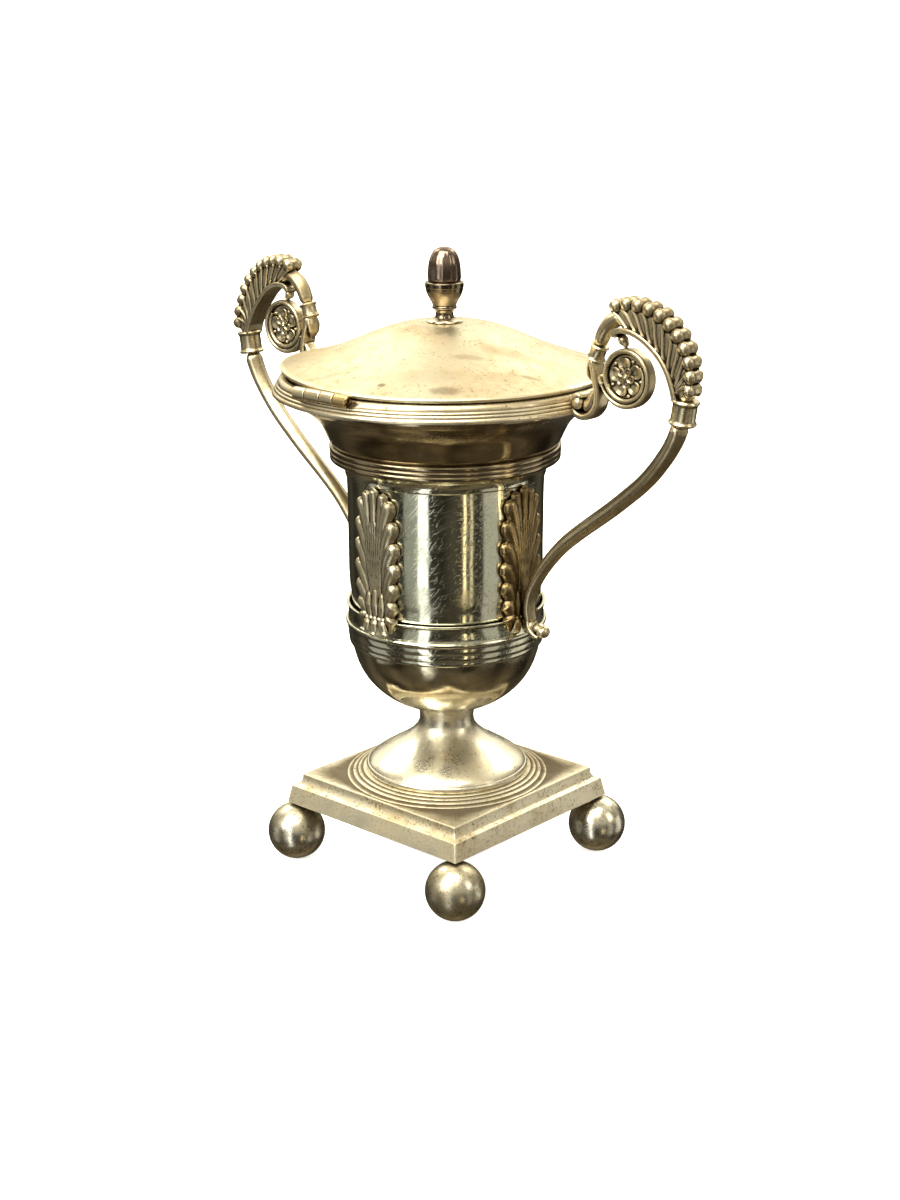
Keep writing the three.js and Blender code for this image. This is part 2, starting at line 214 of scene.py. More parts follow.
def bar(path, half_thick, half_wide, sides=20, per=6, round_thick=2.0, round_wide=2.0):
    """A round-ended rod along a path of (x, z) points in the handle's plane, with Y as its width.
    The half sizes are numbers or lists spread evenly along the path."""
    line = smooth(path, per)
    thick, wide = spread(half_thick, len(line)), spread(half_wide, len(line))
    length = walked(line)
    for side in (length, length[-1] - length):
        reach = np.clip(side / thick, 0, 1)
        close = np.sqrt(np.clip(1 - (1 - reach) ** 2, 0.003, 1))
        thick, wide = thick * close, wide * close
    return tube(upright(line), [oval(a, b, sides, round_thick, round_wide) for a, b in zip(thick, wide)])


def ball(centre, size, rows=16, columns=24):
    """(points, faces) of an ellipsoid; size is its three half widths."""
    angle = np.linspace(-math.pi / 2, math.pi / 2, rows)
    points, faces = turned(np.column_stack([np.cos(angle), np.sin(angle)]), columns, closed=False)
    return points * np.array(size) + np.array(centre), faces


def placed(part, axis_to, centre):
    """A part turned round Z, laid with its Z axis along axis_to and moved to centre."""
    turn = np.array(Vector((0, 0, 1)).rotation_difference(Vector(axis_to)).to_matrix())
    return part[0] @ turn.T + np.array(centre), part[1]


def joined(parts):
    points, faces, start = [], [], 0
    for p, f in parts:
        points.append(p)
        faces.extend(tuple(start + i for i in face) for face in f)
        start += len(p)
    return np.vstack(points), faces


# ---- pieces ---------------------------------------------------------------------------
def clean_mesh(name, part):
    mesh = bpy.data.meshes.new(name)
    mesh.from_pydata((part[0] * MM).tolist(), [], part[1])
    bm = bmesh.new()
    bm.from_mesh(mesh)
    bmesh.ops.remove_doubles(bm, verts=bm.verts, dist=0.002 * MM)
    bmesh.ops.dissolve_degenerate(bm, edges=bm.edges, dist=0.001 * MM)
    bmesh.ops.recalc_face_normals(bm, faces=bm.faces)
    bm.to_mesh(mesh)
    bm.free()
    return mesh


def fused(name, part, voxel, rounds=4):
    """The overlapping parts of a casting, joined into one skin with softened creases."""
    mesh = clean_mesh(name, part)
    obj = bpy.data.objects.new(name, mesh)
    bpy.context.scene.collection.objects.link(obj)
    remesh = obj.modifiers.new("skin", "REMESH")
    remesh.mode = "VOXEL"
    remesh.voxel_size = voxel * MM
    soften = obj.modifiers.new("soften", "SMOOTH")
    soften.factor = 0.5
    soften.iterations = rounds
    graph = bpy.context.evaluated_depsgraph_get()
    skin = bpy.data.meshes.new_from_object(obj.evaluated_get(graph))
    bpy.data.objects.remove(obj)
    bpy.data.meshes.remove(mesh)
    n = len(skin.vertices)
    points = np.empty(n * 3)
    skin.vertices.foreach_get("co", points)
    faces = [tuple(p.vertices) for p in skin.polygons]
    bpy.data.meshes.remove(skin)
    return points.reshape(n, 3) / MM, faces


def record_hollows(mesh):
    """Stores on each vertex how hollow (positive) or proud (negative) the surface is there."""
    n, e = len(mesh.vertices), len(mesh.edges)
    co, no, ed = np.empty(n * 3), np.empty(n * 3), np.empty(e * 2, dtype=np.int64)
    mesh.vertices.foreach_get("co", co)
    mesh.vertices.foreach_get("normal", no)
    mesh.edges.foreach_get("vertices", ed)
    co, no, ed = co.reshape(n, 3) / MM, no.reshape(n, 3), ed.reshape(e, 2)
    a, b = ed[:, 0], ed[:, 1]
    step = co[b] - co[a]
    square = np.maximum((step**2).sum(1), 1e-4)
    bend = np.bincount(a, (no[a] * step).sum(1) / square, n)
    bend += np.bincount(b, -(no[b] * step).sum(1) / square, n)
    count = np.maximum(np.bincount(a, minlength=n) + np.bincount(b, minlength=n), 1)
    bend = np.clip(bend / count, -2, 2)
    for _ in range(3):
        mean = (np.bincount(a, bend[b], n) + np.bincount(b, bend[a], n)) / count
        bend = (bend + mean) / 2
    layer = mesh.attributes.new("hollow", "FLOAT", "POINT")
    layer.data.foreach_set("value", bend.astype(np.float32))


def dented(part, amount, size, seed):
    """Gentle unevenness of hand-worked sheet: points move along their radius."""
    points, faces = part
    moved = points.copy()
    for i, p in enumerate(points):
        wave = noise.noise(Vector(p / size) + Vector((seed, 0, 0)))
        wave += 0.4 * noise.noise(Vector(p / size * 2.3) + Vector((0, seed, 0)))
        reach = math.hypot(p[0], p[1])
        if reach > 1e-6:
            moved[i, 0] += p[0] / reach * wave * amount
            moved[i, 1] += p[1] / reach * wave * amount
    return moved, faces


def piece(name, part, look, body, *nodes, crease=38):
    mesh = clean_mesh(name, part)
    mesh.shade_smooth()
    mesh.set_sharp_from_angle(angle=math.radians(crease))
    record_hollows(mesh)
    obj = bpy.data.objects.new(name, mesh)
    bpy.context.scene.collection.objects.link(obj)
    mesh.materials.append(look[0])
    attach(obj, body)
    if nodes:
        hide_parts(*nodes)
    return obj


def spun(name, node, outline, look, body="vessel", facets=FACETS, closed=True, dents=None, crease=38):
    """A turned piece on its CAD node. Its outline starts at the node's foot; dents are the amount,
    size and seed of its unevenness."""
    part = turned(outline + [0, foot(node)], facets, closed)
    if dents:
        part = dented(part, *dents)
    return piece(name, part, look, body, node, crease=crease)


def about_z(part, degrees):
    a = math.radians(degrees)
    turn = np.array([[math.cos(a), -math.sin(a), 0], [math.sin(a), math.cos(a), 0], [0, 0, 1]])
    return part[0] @ turn.T, part[1]


# ---- materials ------------------------------------------------------------------------
class Nodes:
    """Short calls for building the node tree of a material or a world."""

    def __init__(self, owner, place="Object"):
        owner.use_nodes = True
        self.tree = owner.node_tree
        self.place = self.add("ShaderNodeTexCoord", {}).outputs[place]

    def add(self, kind, inputs, **settings):
        """A new node; each of its inputs, by name or number, gets a socket or a constant."""
        node = self.tree.nodes.new(kind)
        for key, value in settings.items():
            setattr(node, key, value)
        for key, value in inputs.items():
            self.feed(node.inputs[key], value)
        return node

    def feed(self, socket, value):
        if isinstance(value, bpy.types.NodeSocket):
            self.tree.links.new(value, socket)
        else:
            socket.default_value = value

    def mapped(self, **inputs):
        inputs["Vector"] = self.place
        return self.add("ShaderNodeMapping", inputs, vector_type="TEXTURE").outputs["Vector"]

    def noise(self, scale, detail=4, rough=0.55, stretch=None, spin=(0, 0, 0), distort=0.0):
        where = self.mapped(Scale=stretch, Rotation=spin) if stretch else self.place
        inputs = {"Vector": where, "Scale": scale, "Detail": detail}
        inputs.update(Roughness=rough, Distortion=distort)
        return self.add("ShaderNodeTexNoise", inputs).outputs["Fac"]

    def window(self, value, start, end, low_value=0.0, high_value=1.0, kind="SMOOTHSTEP"):
        inputs = dict(enumerate((value, start, end, low_value, high_value)))
        return self.add("ShaderNodeMapRange", inputs, interpolation_type=kind).outputs["Result"]

    def math(self, operation, a, b=0.0):
        return self.add("ShaderNodeMath", {0: a, 1: b}, operation=operation).outputs[0]

    def total(self, *values):
        out = values[0]
        for value in values[1:]:
            out = self.math("ADD", out, value)
        return out

    def mix(self, factor, a, b, blend="MIX"):
        inputs = {"Factor": factor, 6: a, 7: b}
        return self.add("ShaderNodeMix", inputs, data_type="RGBA", blend_type=blend).outputs[2]

    def bump(self, height, strength, distance, before=None):
        inputs = {"Height": height, "Strength": strength, "Distance": distance * MM}
        if before is not None:
            inputs["Normal"] = before
        return self.add("ShaderNodeBump", inputs).outputs["Normal"]


def stained(n, mottle, tarnish_and_shade, across, forward, half_across, half_forward, strength):
    """Adds one ragged oval stain to the darkening of tarnish and painted shade. Its place and half sizes
    are in mm, as seen from the side that the camera is on."""
    a = math.radians(VIEW_AZIMUTH)
    x, y = across * math.cos(a) + forward * math.sin(a), across * math.sin(a) - forward * math.cos(a)
    size = (half_across * MM, half_forward * MM, 1)
    spot = n.mapped(Location=(x * MM, y * MM, 0), Rotation=(0, 0, a), Scale=size)
    reach = n.add("ShaderNodeVectorMath", {0: spot}, operation="LENGTH").outputs["Value"]
    ragged = n.total(reach, n.math("MULTIPLY", mottle, 1.6), -0.8)
    stain = n.math("MULTIPLY", n.window(ragged, 1.15, 0.45), 0.85 * strength)
    return n.math("MAXIMUM", tarnish_and_shade, stain)


def silver(name, slot, clean, dull, dark, rough, patches, crevices, speckle, scratches, grain, stains=()):
    """(material, slot) of old silver: clean metal that dulls in patches, darkens in its hollows, partly
    with patina and partly with painted shade from ambient occlusion, and is worn bright on its edges,
    with pits, fine scratches, a faint grain and stains."""
    clean, dull, dark = (*clean, 1), (*dull, 1), (*dark, 1)
    material = bpy.data.materials.new(name)
    n = Nodes(material)
    shader = n.tree.nodes["Principled BSDF"]
    cloud = n.noise(45, 5, 0.6, distort=0.6)
    mottle = n.noise(320, 6, 0.7)
    pits = n.noise(1500, 3, 0.6)
    hollow = n.add("ShaderNodeAttribute", {}, attribute_name="hollow").outputs["Fac"]
    # Ambient occlusion darkens the metal where nearby surfaces crowd it: painted shade, added to the patina
    # of the hollows.
    occlusion = n.add("ShaderNodeAmbientOcclusion", {"Distance": 1.3 * MM}, samples=6)
    shade = n.math("SUBTRACT", 1.0, occlusion.outputs["AO"])

    half_mottle = n.math("MULTIPLY", mottle, 0.5)
    patch = n.window(n.total(cloud, half_mottle), 0.84 - 0.3 * patches, 0.96)
    dullness = n.math("MULTIPLY", patch, min(1.0, 0.35 + patches))
    colour = n.mix(dullness, clean, dull)
    spots = n.window(n.total(pits, half_mottle), 0.98 - 0.17 * speckle, 1.03)
    spots = n.math("MULTIPLY", spots, min(1.0, speckle))
    # How dark the hollows go: painted shade from the occlusion, patina from the hollow attribute, and mottle.
    depth = n.total(n.math("MULTIPLY", shade, 1.3), n.math("MULTIPLY", hollow, 1.2),
                    n.math("MULTIPLY", mottle, 0.35), -0.32)
    tarnish_and_shade = n.math("MULTIPLY", n.window(depth, 0.0, 0.75), crevices)
    tarnish_and_shade = n.math("MAXIMUM", tarnish_and_shade, spots)
    for stain in stains:
        tarnish_and_shade = stained(n, mottle, tarnish_and_shade, *stain)
    colour = n.mix(tarnish_and_shade, colour, dark)
    worn = n.window(n.math("MULTIPLY", hollow, -1.0), 0.15, 0.8, 0, 0.8 * min(1.0, crevices))
    n.feed(shader.inputs["Base Color"], n.mix(worn, colour, clean))
    shader.inputs["Metallic"].default_value = 1.0

    lines = n.noise(2400, 2, 0.5, (1, 1, 22), (0, 1.25, 0.73))
    more = n.noise(2900, 2, 0.5, (1, 1, 16), (0, 0.7, 0.4))
    hair = n.math("MAXIMUM", n.window(lines, 0.60, 0.66), n.window(more, 0.61, 0.67))
    hair = n.math("MULTIPLY", hair, scratches)
    roughness = n.total(
        rough,
        n.math("MULTIPLY", n.math("SUBTRACT", mottle, 0.5), 0.25 * rough + 0.05),
        n.math("MULTIPLY", dullness, 0.16),
        n.math("MULTIPLY", tarnish_and_shade, 0.22),
        n.math("MULTIPLY", hair, 0.12),
    )
    n.feed(shader.inputs["Roughness"], roughness)
    normal = n.bump(n.noise(60, 2, 0.5), 0.25, 0.25)
    normal = n.bump(mottle, grain, 0.05, normal)
    normal = n.bump(pits, 0.5 * grain, 0.03, normal)
    normal = n.bump(n.math("SUBTRACT", 1.0, hair), 0.4 * scratches, 0.02, normal)
    n.feed(shader.inputs["Normal"], normal)
    return material, slot


CREAM = (0.90, 0.86, 0.74)
BROWN = (0.12, 0.085, 0.05)
UMBER = (0.17, 0.125, 0.075)
# Near black that hollows and spots darken to: patina, and painted shade where they are occluded.
PATINA_AND_SHADE_DARK = (0.03, 0.022, 0.015)
STAINS = (  # across, forward, half across, half forward, strength
    (0.3, 36.8, 4.2, 2.3, 0.75),
    (-14.7, 32.1, 1.1, 1.0, 0.9),
    (5.0, 22.2, 5.0, 1.3, 0.45),
    (-27, 22, 5.5, 1.6, 0.35),
    (20, 27, 2.6, 0.9, 0.5),
    (-3, 30, 9, 3.5, 0.22),
    (16, 17, 9, 3, 0.25),
)
# Each look: clean, dull and dark colours, roughness, then the amounts of patches, crevices, speckle,
# scratches and grain.
POLISHED = silver("polished_silver", "polished_silver", (0.84, 0.84, 0.71), (0.60, 0.60, 0.45), BROWN,
                  0.09, 0.35, 1.0, 0.35, 0.9, 0.10)
BOWL = silver("bowl_silver", "polished_silver", (0.80, 0.74, 0.58), (0.52, 0.45, 0.29), BROWN,
              0.10, 0.5, 0.8, 0.3, 0.5, 0.12)
# A darker copy of the bowl's polished silver for the neck, which faces down under the rim: painted shade.
SHADED_NECK = silver("neck_painted_shade_silver", "polished_silver", (0.44, 0.37, 0.26), (0.25, 0.20, 0.125), BROWN,
              0.11, 0.5, 0.8, 0.3, 0.5, 0.12)
STEM = silver("stem_silver", "polished_silver", CREAM, (0.70, 0.62, 0.45), BROWN,
              0.26, 0.7, 0.8, 0.7, 0.5, 0.35)
SATIN = silver("satin_silver", "satin_silver", (0.84, 0.77, 0.60), (0.56, 0.46, 0.30), UMBER,
               0.27, 0.75, 0.9, 0.9, 0.4, 0.5)
LID = silver("lid_silver", "satin_silver", (0.87, 0.80, 0.61), (0.64, 0.53, 0.35), UMBER,
             0.35, 0.8, 0.9, 0.9, 0.4, 0.5, STAINS)
PLINTH = silver("plinth_silver", "satin_silver", (0.90, 0.84, 0.68), (0.62, 0.53, 0.36), (0.15, 0.115, 0.07),
                0.42, 0.8, 0.9, 1.3, 0.4, 0.6)
FEET = silver("feet_silver", "satin_silver", CREAM, (0.50, 0.44, 0.30), (0.10, 0.075, 0.045),
              0.21, 0.85, 0.8, 1.2, 0.5, 0.6)
CAST = silver("cast_silver", "cast_silver", (0.76, 0.67, 0.48), (0.37, 0.30, 0.19), PATINA_AND_SHADE_DARK,
              0.24, 1.0, 1.0, 0.4, 0.3, 0.35)
# A darker copy of the cast silver for the side leaves, which turn away from the lights: painted shade.
SHADED = silver("shaded_cast_silver", "cast_silver", (0.44, 0.335, 0.18), (0.18, 0.13, 0.06), PATINA_AND_SHADE_DARK,
                0.24, 1.0, 1.0, 0.4, 0.3, 0.35)
# A lighter copy of the cast silver for the front and back leaves: painted light.
LIT_CAST = silver("painted_light_cast_silver", "cast_silver", (0.82, 0.75, 0.57), (0.48, 0.42, 0.28), PATINA_AND_SHADE_DARK,
                0.25, 0.9, 1.0, 0.4, 0.3, 0.35)
KNUCKLE = (CAST[0], "satin_silver")
DARK = silver("tarnished_silver", "tarnished_silver", (0.30, 0.225, 0.185), (0.15, 0.105, 0.085), PATINA_AND_SHADE_DARK,
              0.16, 0.8, 0.9, 0.5, 0.3, 0.25)
CUP = silver("cup_silver", "tarnished_silver", (0.24, 0.195, 0.14), (0.125, 0.095, 0.065), PATINA_AND_SHADE_DARK,
             0.13, 0.7, 0.9, 0.4, 0.3, 0.25)
BRASS = silver("hinge_brass", "hinge_brass", (0.70, 0.53, 0.25), (0.38, 0.27, 0.13), BROWN,
               0.3, 0.7, 0.9, 0.6, 0.3, 0.5)


# ---- plinth and feet ------------------------------------------------------------------
def ball_feet():
    for side in ("front_right", "back_right", "back_left", "front_left"):
        lo, hi = low(f"ball_foot_{side}"), high(f"ball_foot_{side}")
        middle = (lo + hi) / 2
        radius = (hi[0] - lo[0]) / 2
        centre_z = lo[2] + radius * 0.99
        # The ball ends in a small worn flat on the table and in its seat at the top.
        start = -math.asin(min(1, (centre_z - lo[2]) / (radius * 1.003)))
        end = math.asin(min(1, (hi[2] - centre_z) / radius))
        angle = np.linspace(start, end, 60)
        arc = np.column_stack([radius * np.cos(angle), centre_z + radius * np.sin(angle)])
        arc[0, 1] = lo[2]
        outline = np.vstack([[0, lo[2]], arc, [0, arc[-1, 1]]])
        points, faces = turned(outline, 96, closed=False)
        points = points * [0.995, 0.995, 1] + [middle[0], middle[1], 0]
        piece(f"foot_ball_{side}", (points, faces), FEET, "vessel", f"ball_foot_{side}")


def plinth():
    """A square base with a leaning fascia and a hollow moulding, and the round raised rings on it."""
    z, half = foot("plinth"), high("plinth")[0]
    square = profile(
        (half - 0.9, 0), [(half - 0.1, 0)],
        [(half, 0.12)],
        [(half - 0.85, 4.45)],
        [(half - 0.95, 4.68), (half - 1.15, 4.8)],
        [(half - 1.6, 4.95)],
        [(half - 2.15, 5.2), (half - 2.6, 5.8), (half - 2.87, 6.5), (half - 2.95, 7.2)],
        [(half - 2.97, 7.65), (half - 3.1, 7.84), (half - 3.3, 7.9)],
    )
    dais = profile(
        (26.2, 7.9), [(26.12, 8.1), (25.85, 8.18)],
        [(24.75, 8.35)],
        [(24.65, 8.62), (24.4, 8.74)],
        [(23.4, 8.88)],
        [(23.3, 9.12), (23.05, 9.22)],
        [(22.1, 9.38)],
        [(21.95, 9.55), (21.7, 9.6)],
        [(2.3, 9.6)],
        [(2.3, 8.7)],
        [(22.6, 8.7)],
        [(23.0, 8.3), (23.1, 7.2)],
    )
    under = np.array([(25.4, 7.0), (27.6, 4.2), (half - 1.1, 3.8)])
    outline = np.vstack([square, dais, under])
    squares = np.concatenate([np.ones(len(square)), np.zeros(len(dais)), np.ones(len(under))])
    outline[:, 1] += z
    # The columns of faces stand closer together towards each corner.
    off_corner = 45 * np.linspace(0, 1, 25)[:-1] ** 2.2
    quarter = np.unique(np.concatenate([45 + off_corner, 45 - off_corner, [0]]))
    angles = np.radians(np.concatenate([quarter + 90 * k for k in range(4)]))
    part = turned(outline, angles=angles, squares=squares)
    piece("plinth_base", part, PLINTH, "vessel", "plinth", crease=30)


def pedestal():
    """A disc edge, a trumpet-shaped stem and a narrow waist."""
    outer = profile(
        (20.5, 0), [(20.95, 0.15), (21.14, 0.65), (21.12, 1.25), (20.85, 1.65)],
        [(20.55, 1.72)],
        [(20.2, 2.2), (19.2, 3.1), (15.2, 5.7), (11.2, 8.2), (8.5, 10.6), (7.38, 12.3),
         (7.06, 14), (7.25, 15.7), (7.7, 17.4)],
    )
    inner = smooth([(6.8, 17.4), (6.2, 14), (6.5, 12), (7.6, 10), (10.4, 7.5), (14.6, 4.8), (18.6, 2.2),
                    (19.6, 0)])
    spun("pedestal_foot", "pedestal", np.vstack([outer, inner]), STEM, dents=(0.06, 9, 3))


# ---- vase -----------------------------------------------------------------------------
def vase():
    """The lower bowl, its reeded moulding, the gallery, the body, the neck and the ring between."""
    outer = profile(
        (0, 0), [(7.7, 0)],
        [(12.2, 1.6), (16.6, 4.3), (20.1, 7.8), (22.4, 11.6), (23.75, 15.6), (24.3, 18.4)],
        [(24.3, 23.4)],
    )
    outline = np.vstack([outer, inside(outer)])
    spun("bowl_cup", "lower_bowl", outline, BOWL, closed=False, dents=(0.05, 11, 7))

    outline = np.vstack([
        profile((24.3, 0), [(24.75, 0)]),
        reeds((24.75, 0.05), (25.25, 4.9), (1.1, 1.6, 1.9), 0.16),
        profile((25.3, 4.95), [(25.6, 5.15), (25.75, 5.55), (25.75, 5.85), (25.6, 6.1)]),
        [(24.3, 6.1)],
    ])
    spun("bowl_reeding", "bowl_moulding", outline, POLISHED, crease=50)

    height = tall("gallery_ring")
    outline = np.vstack([
        profile((23.7, 0), [(25.3, 0)], [(25.08, 0.8), (25.05, 2.2), (25.2, height - 0.7)]),
        profile((25.25, height - 0.65), [(25.5, height - 0.4), (25.48, height - 0.05), (25.1, height)]),
        profile((24.75, height - 0.1), [(24.55, 0.6)], [(23.7, 0.6)]),
    ])
    spun("gallery_wall", "gallery_ring", outline, POLISHED, crease=45)

    outer = profile(
        (24.0, 0), [(23.9, 1.3), (23.9, 2.8), (24.0, 4.4), (24.25, 7.6), (24.55, 10.4), (24.7, 13.5)],
        [(24.7, 17), (24.68, 21), (24.7, 26), (24.7, 30), (24.78, 35), (24.98, 38.3)],
        [(25.25, 38.55)],
        [(25.55, 39.9), (26.35, 41.3), (27.5, 42.2)],
        [(27.8, 44)],
    )
    inner = outer[::-1] - [WALL, 0]
    outline = np.vstack([outer, inner])
    spun("vase_body", "body", outline, POLISHED, facets=256, dents=(0.045, 14, 11))

    outer = profile(
        (27.8, 0), [(28, 1.9)],
        [(28.85, 3), (29.4, 4.1), (30.3, 6.1), (31.5, 8.2), (33.5, 10.3), (36.6, 12.5), (40, 14.1)],
        [(40.1, 14.6)],
    )
    inner = profile(
        (39.1, 14.6), [(38.7, 14.55)],
        [(35.8, 13.2), (32.5, 10.9), (30.4, 8.4), (29.2, 6.1), (28.2, 4), (27.4, 2.4), (26.9, 0)],
    )
    spun("neck_flare", "neck", np.vstack([outer, inner]), SHADED_NECK, dents=(0.05, 13, 17))

    height = tall("neck_ring")
    reach = high("neck_ring")[0] - 0.3
    outline = np.vstack([
        [(27.3, 0.05), (reach - 0.35, 0)],
        reeds((reach - 0.3, 0.0), (reach - 0.1, height), (1, 0.85, 1), 0.36),
        [(27.9, height)],
    ])
    spun("neck_reeding", "neck_ring", outline, SHADED_NECK, crease=60)


def hinge_axis():
    joint = next(j for j in frame["joints"] if j["name"] == "lid_hinge")
    return joint["pos_m"][1] / MM, joint["pos_m"][2] / MM


def clear_of_hinge(points, margin):
    """Presses the points next to the knuckles out of the round space that these turn in."""
    room = 1.75
    axis_y, axis_z = hinge_axis()
    lo, hi = low("hinge_pin")[0] - margin, high("hinge_pin")[0] + margin
    for p in points:
        if lo < p[0] < hi and p[1] < 0:
            away = np.array([p[1] - axis_y, p[2] - axis_z])
            gap = np.linalg.norm(away)
            if gap < room:
                p[1:] = [axis_y, axis_z] + away / max(gap, 1e-6) * room


def rim():
    z, height = foot("rim_border"), tall("rim_border")
    reach = high("rim_border")[1]
    outline = np.vstack([
        profile((39.3, 0), [(reach - 0.8, 0), (reach - 0.25, 0.25)]),
        reeds((reach - 0.28, 0.35), (40.55, height - 0.2), (1.35, 1.0, 1.0, 1.75), 0.22),
        profile((40.4, height), [(39.4, height - 0.1)]),
    ]) + [0, z]
    part = turned(outline, 256)
    clear_of_hinge(part[0], 0.4)
    piece("rim_reeding", part, SATIN, "vessel", "rim_border", crease=60)


# ---- palmettes ------------------------------------------------------------------------
def on_body(points):
    """Bends flat (across, height, depth) points round the vase, which swells at the top."""
    x, z, d = points.T
    swell = np.interp(z, [100, 103, 105, 107], [0, 0.25, 0.7, 1.8])
    radius = 24.62 + swell + d
    angle = x / 24.7
    return np.column_stack([radius * np.cos(angle), radius * np.sin(angle), z])


def leaf_blade(path, radii, depth, flat=1.0, sides=16, round_up=2.0):
    """A fleshy rib along flat (across, height) points, swelling to a rounded tip."""
    line = smooth(path, 8)
    r, length = spread(radii, len(line)), walked(line)
    left = length[-1] - length
    r = r * np.sqrt(np.clip(1 - (1 - np.clip(left / r[-1], 0, 1)) ** 2, 0.01, 1))
    path3 = np.column_stack([line, spread(depth, len(line))])
    return tube(path3, [oval(a, a * flat, sides, 2.0, round_up) for a in r], up=(0.0, 0.0, 1.0))


def palmette():
    """A shell-like leaf: three lobes at the top, seven beaded leaves down each side, a small
    calyx with berries at its foot, and three tips that curl over the gallery."""
    z = foot("palmette_front")
    root = z + 12.5
    outline = [(-3.2, z + 4.6), (-5, z + 7), (-6.6, z + 12), (-7, z + 20), (-6.6, z + 28), (-4.4, z + 33),
               (-2.2, z + 35.6)]
    edge = smooth(outline + [(-p[0], p[1]) for p in outline[::-1]], 6)
    plate = []
    for shrink, depth in ((1, 0), (1, 0.35), (0.9, 0.6)):
        plate.append(np.column_stack([edge[:, 0] * (0.8 * shrink), edge[:, 1], np.full(len(edge), depth)]))
    k = len(edge)
    faces = bands(3, k)
    for base in (0, 2 * k):
        faces += [(base + i, base + i + 1, base + k - 2 - i, base + k - 1 - i) for i in range(k // 2 - 1)]
    parts = [(np.vstack(plate), faces)]

    side_leaves = [  # across, up, half width of the bead, length
        (5.2, 34.7, 1.55, 22), (6.15, 29.5, 1.65, 19.5), (6.55, 24.1, 1.65, 16.5), (6.65, 18.8, 1.6, 13.5),
        (6.4, 13.7, 1.45, 10.2), (5.8, 9.3, 1.25, 7.4), (4.9, 5.8, 1.05, 4.6),
    ]
    bow = [(0, 1.0), (0.1, 0.62), (0.34, 0.3), (0.68, 0.09), (1.0, 0.0)]
    for i, (x, up, r, length) in enumerate(side_leaves):
        start_x = 1.3 + 0.42 * i
        for side in (-1, 1):
            path = [(side * (start_x + a * (x - start_x)), z + up - b * length) for a, b in bow]
            radii = (0.6, 1.1, 1.75, 2.1, 1.12 * r)
            parts.append(leaf_blade(path, radii, (0.5, 0.65, 0.85, 0.85, 0.95), 0.8, 20, 1.5))
    for x, up, r in ((0, 37.8, 1.35), (2.75, 36.8, 1.4), (-2.75, 36.8, 1.4)):
        path = [(0.3 * x, root), (0.42 * x, root + 10), (0.74 * x, root + 18), (x, z + up)]
        parts.append(leaf_blade(path, (0.5, 0.8, 1.4, r), (0.7, 0.85, 0.95, 0.7), 0.9, 20, 1.35))
    for k in range(-4, 5):
        path = [(0.3 * k, root - 6), (0.42 * k, root + 2), (0.62 * k, root + 10), (0.78 * k, root + 17)]
        depth = (1.0, 1.35, 1.75, 1.9 - 0.05 * abs(k))
        parts.append(leaf_blade(path, (0.22, 0.3, 0.32, 0.26), depth, 1.0, 10))
    for x, up, r in ((0, 13.2, 0.95), (2.1, 12, 0.95), (-2.1, 12, 0.95)):
        path = [(0.75 * x, z + 4.6), (x, z + 8), (0.98 * x, z + up - 1.4), (0.9 * x, z + up)]
        parts.append(leaf_blade(path, (0.8, r + 0.25, r * 0.75, 0.25), (1.0, 1.25, 1.2, 0.9), 0.75))
    for x in (-2.6, -1.25, 0, 1.25, 2.6):
        parts.append(ball((x, z + 4.7, 1.5), (0.62, 0.62, 0.62), 10, 14))
    for x, drop in ((-2.9, 0.7), (0, 0.2), (2.9, 0.7)):
        path = [(0.55 * x, z + 5.2), (0.8 * x, z + 3.6), (x, z + 1.9), (1.15 * x, z + drop + 0.5)]
        parts.append(leaf_blade(path, (0.9, 1.15, 1.2, 0.75), (1.2, 1.9, 2.0, 2.35), 0.55))
        parts.append(ball((1.18 * x, z + drop + 0.75, 2.45), (0.95, 0.5, 0.6), 10, 14))
    points, faces = joined(parts)
    return fused("palmette_cast", (on_body(points), faces), 0.145, 3)


def palmettes():
    leaf = palmette()
    for quarter, side in enumerate(("right", "back", "left", "front")):
        # The side leaves get the painted-shade copy of the cast silver, the front and back ones the
        # painted-light copy.
        look = SHADED if side in ("right", "left") else LIT_CAST
        part = about_z(leaf, 90 * quarter)
        piece(f"shell_leaf_{side}", part, look, "vessel", f"palmette_{side}", crease=80)


# ---- handles --------------------------------------------------------------------------
ROD_PATH = [
    (28.7, 70.2), (27.9, 73.6), (28.4, 77.8), (30.2, 81.9), (33.2, 86.6), (37.6, 91.8), (42.1, 95.8),
    (46.6, 99.4), (51.3, 103.1), (55.6, 106.8), (59.5, 110.3), (62.6, 113.6), (65.3, 117), (67.4, 120.1),
    (69, 123.2), (70.2, 126.6),
]
ARM_PATH = [(48.1, 141.2), (48.9, 143.2), (49.9, 145.2), (51.5, 147), (53.6, 148.2), (55.4, 148.7)]
BEADS = [  # the line of rolled tips along the leaf's outer side
    (73.75, 134.2), (74.1, 137.8), (73.4, 141.5), (71.7, 145), (69, 148), (65.6, 150.3), (61.6, 151.5),
    (57.4, 151.9), (53.6, 151.1),
]
INNER = [  # the leaf's inner side, down to the curl at its end
    (69.5, 131.6), (68.7, 134.4), (67.9, 137.2), (66.5, 139.9), (64.4, 142.3), (61.6, 144.3),
    (58.4, 145.5), (55.6, 145.6), (53.9, 144.9), (54, 143.9),
]


def outward(points):
    tangent = directions(np.array(points, dtype=float))
    return np.column_stack([tangent[:, 1], -tangent[:, 0]])


def at(distance, walk, line):
    """The point of a line at a distance walked along it."""
    return np.array([np.interp(distance, walk, line[:, k]) for k in (0, 1)])


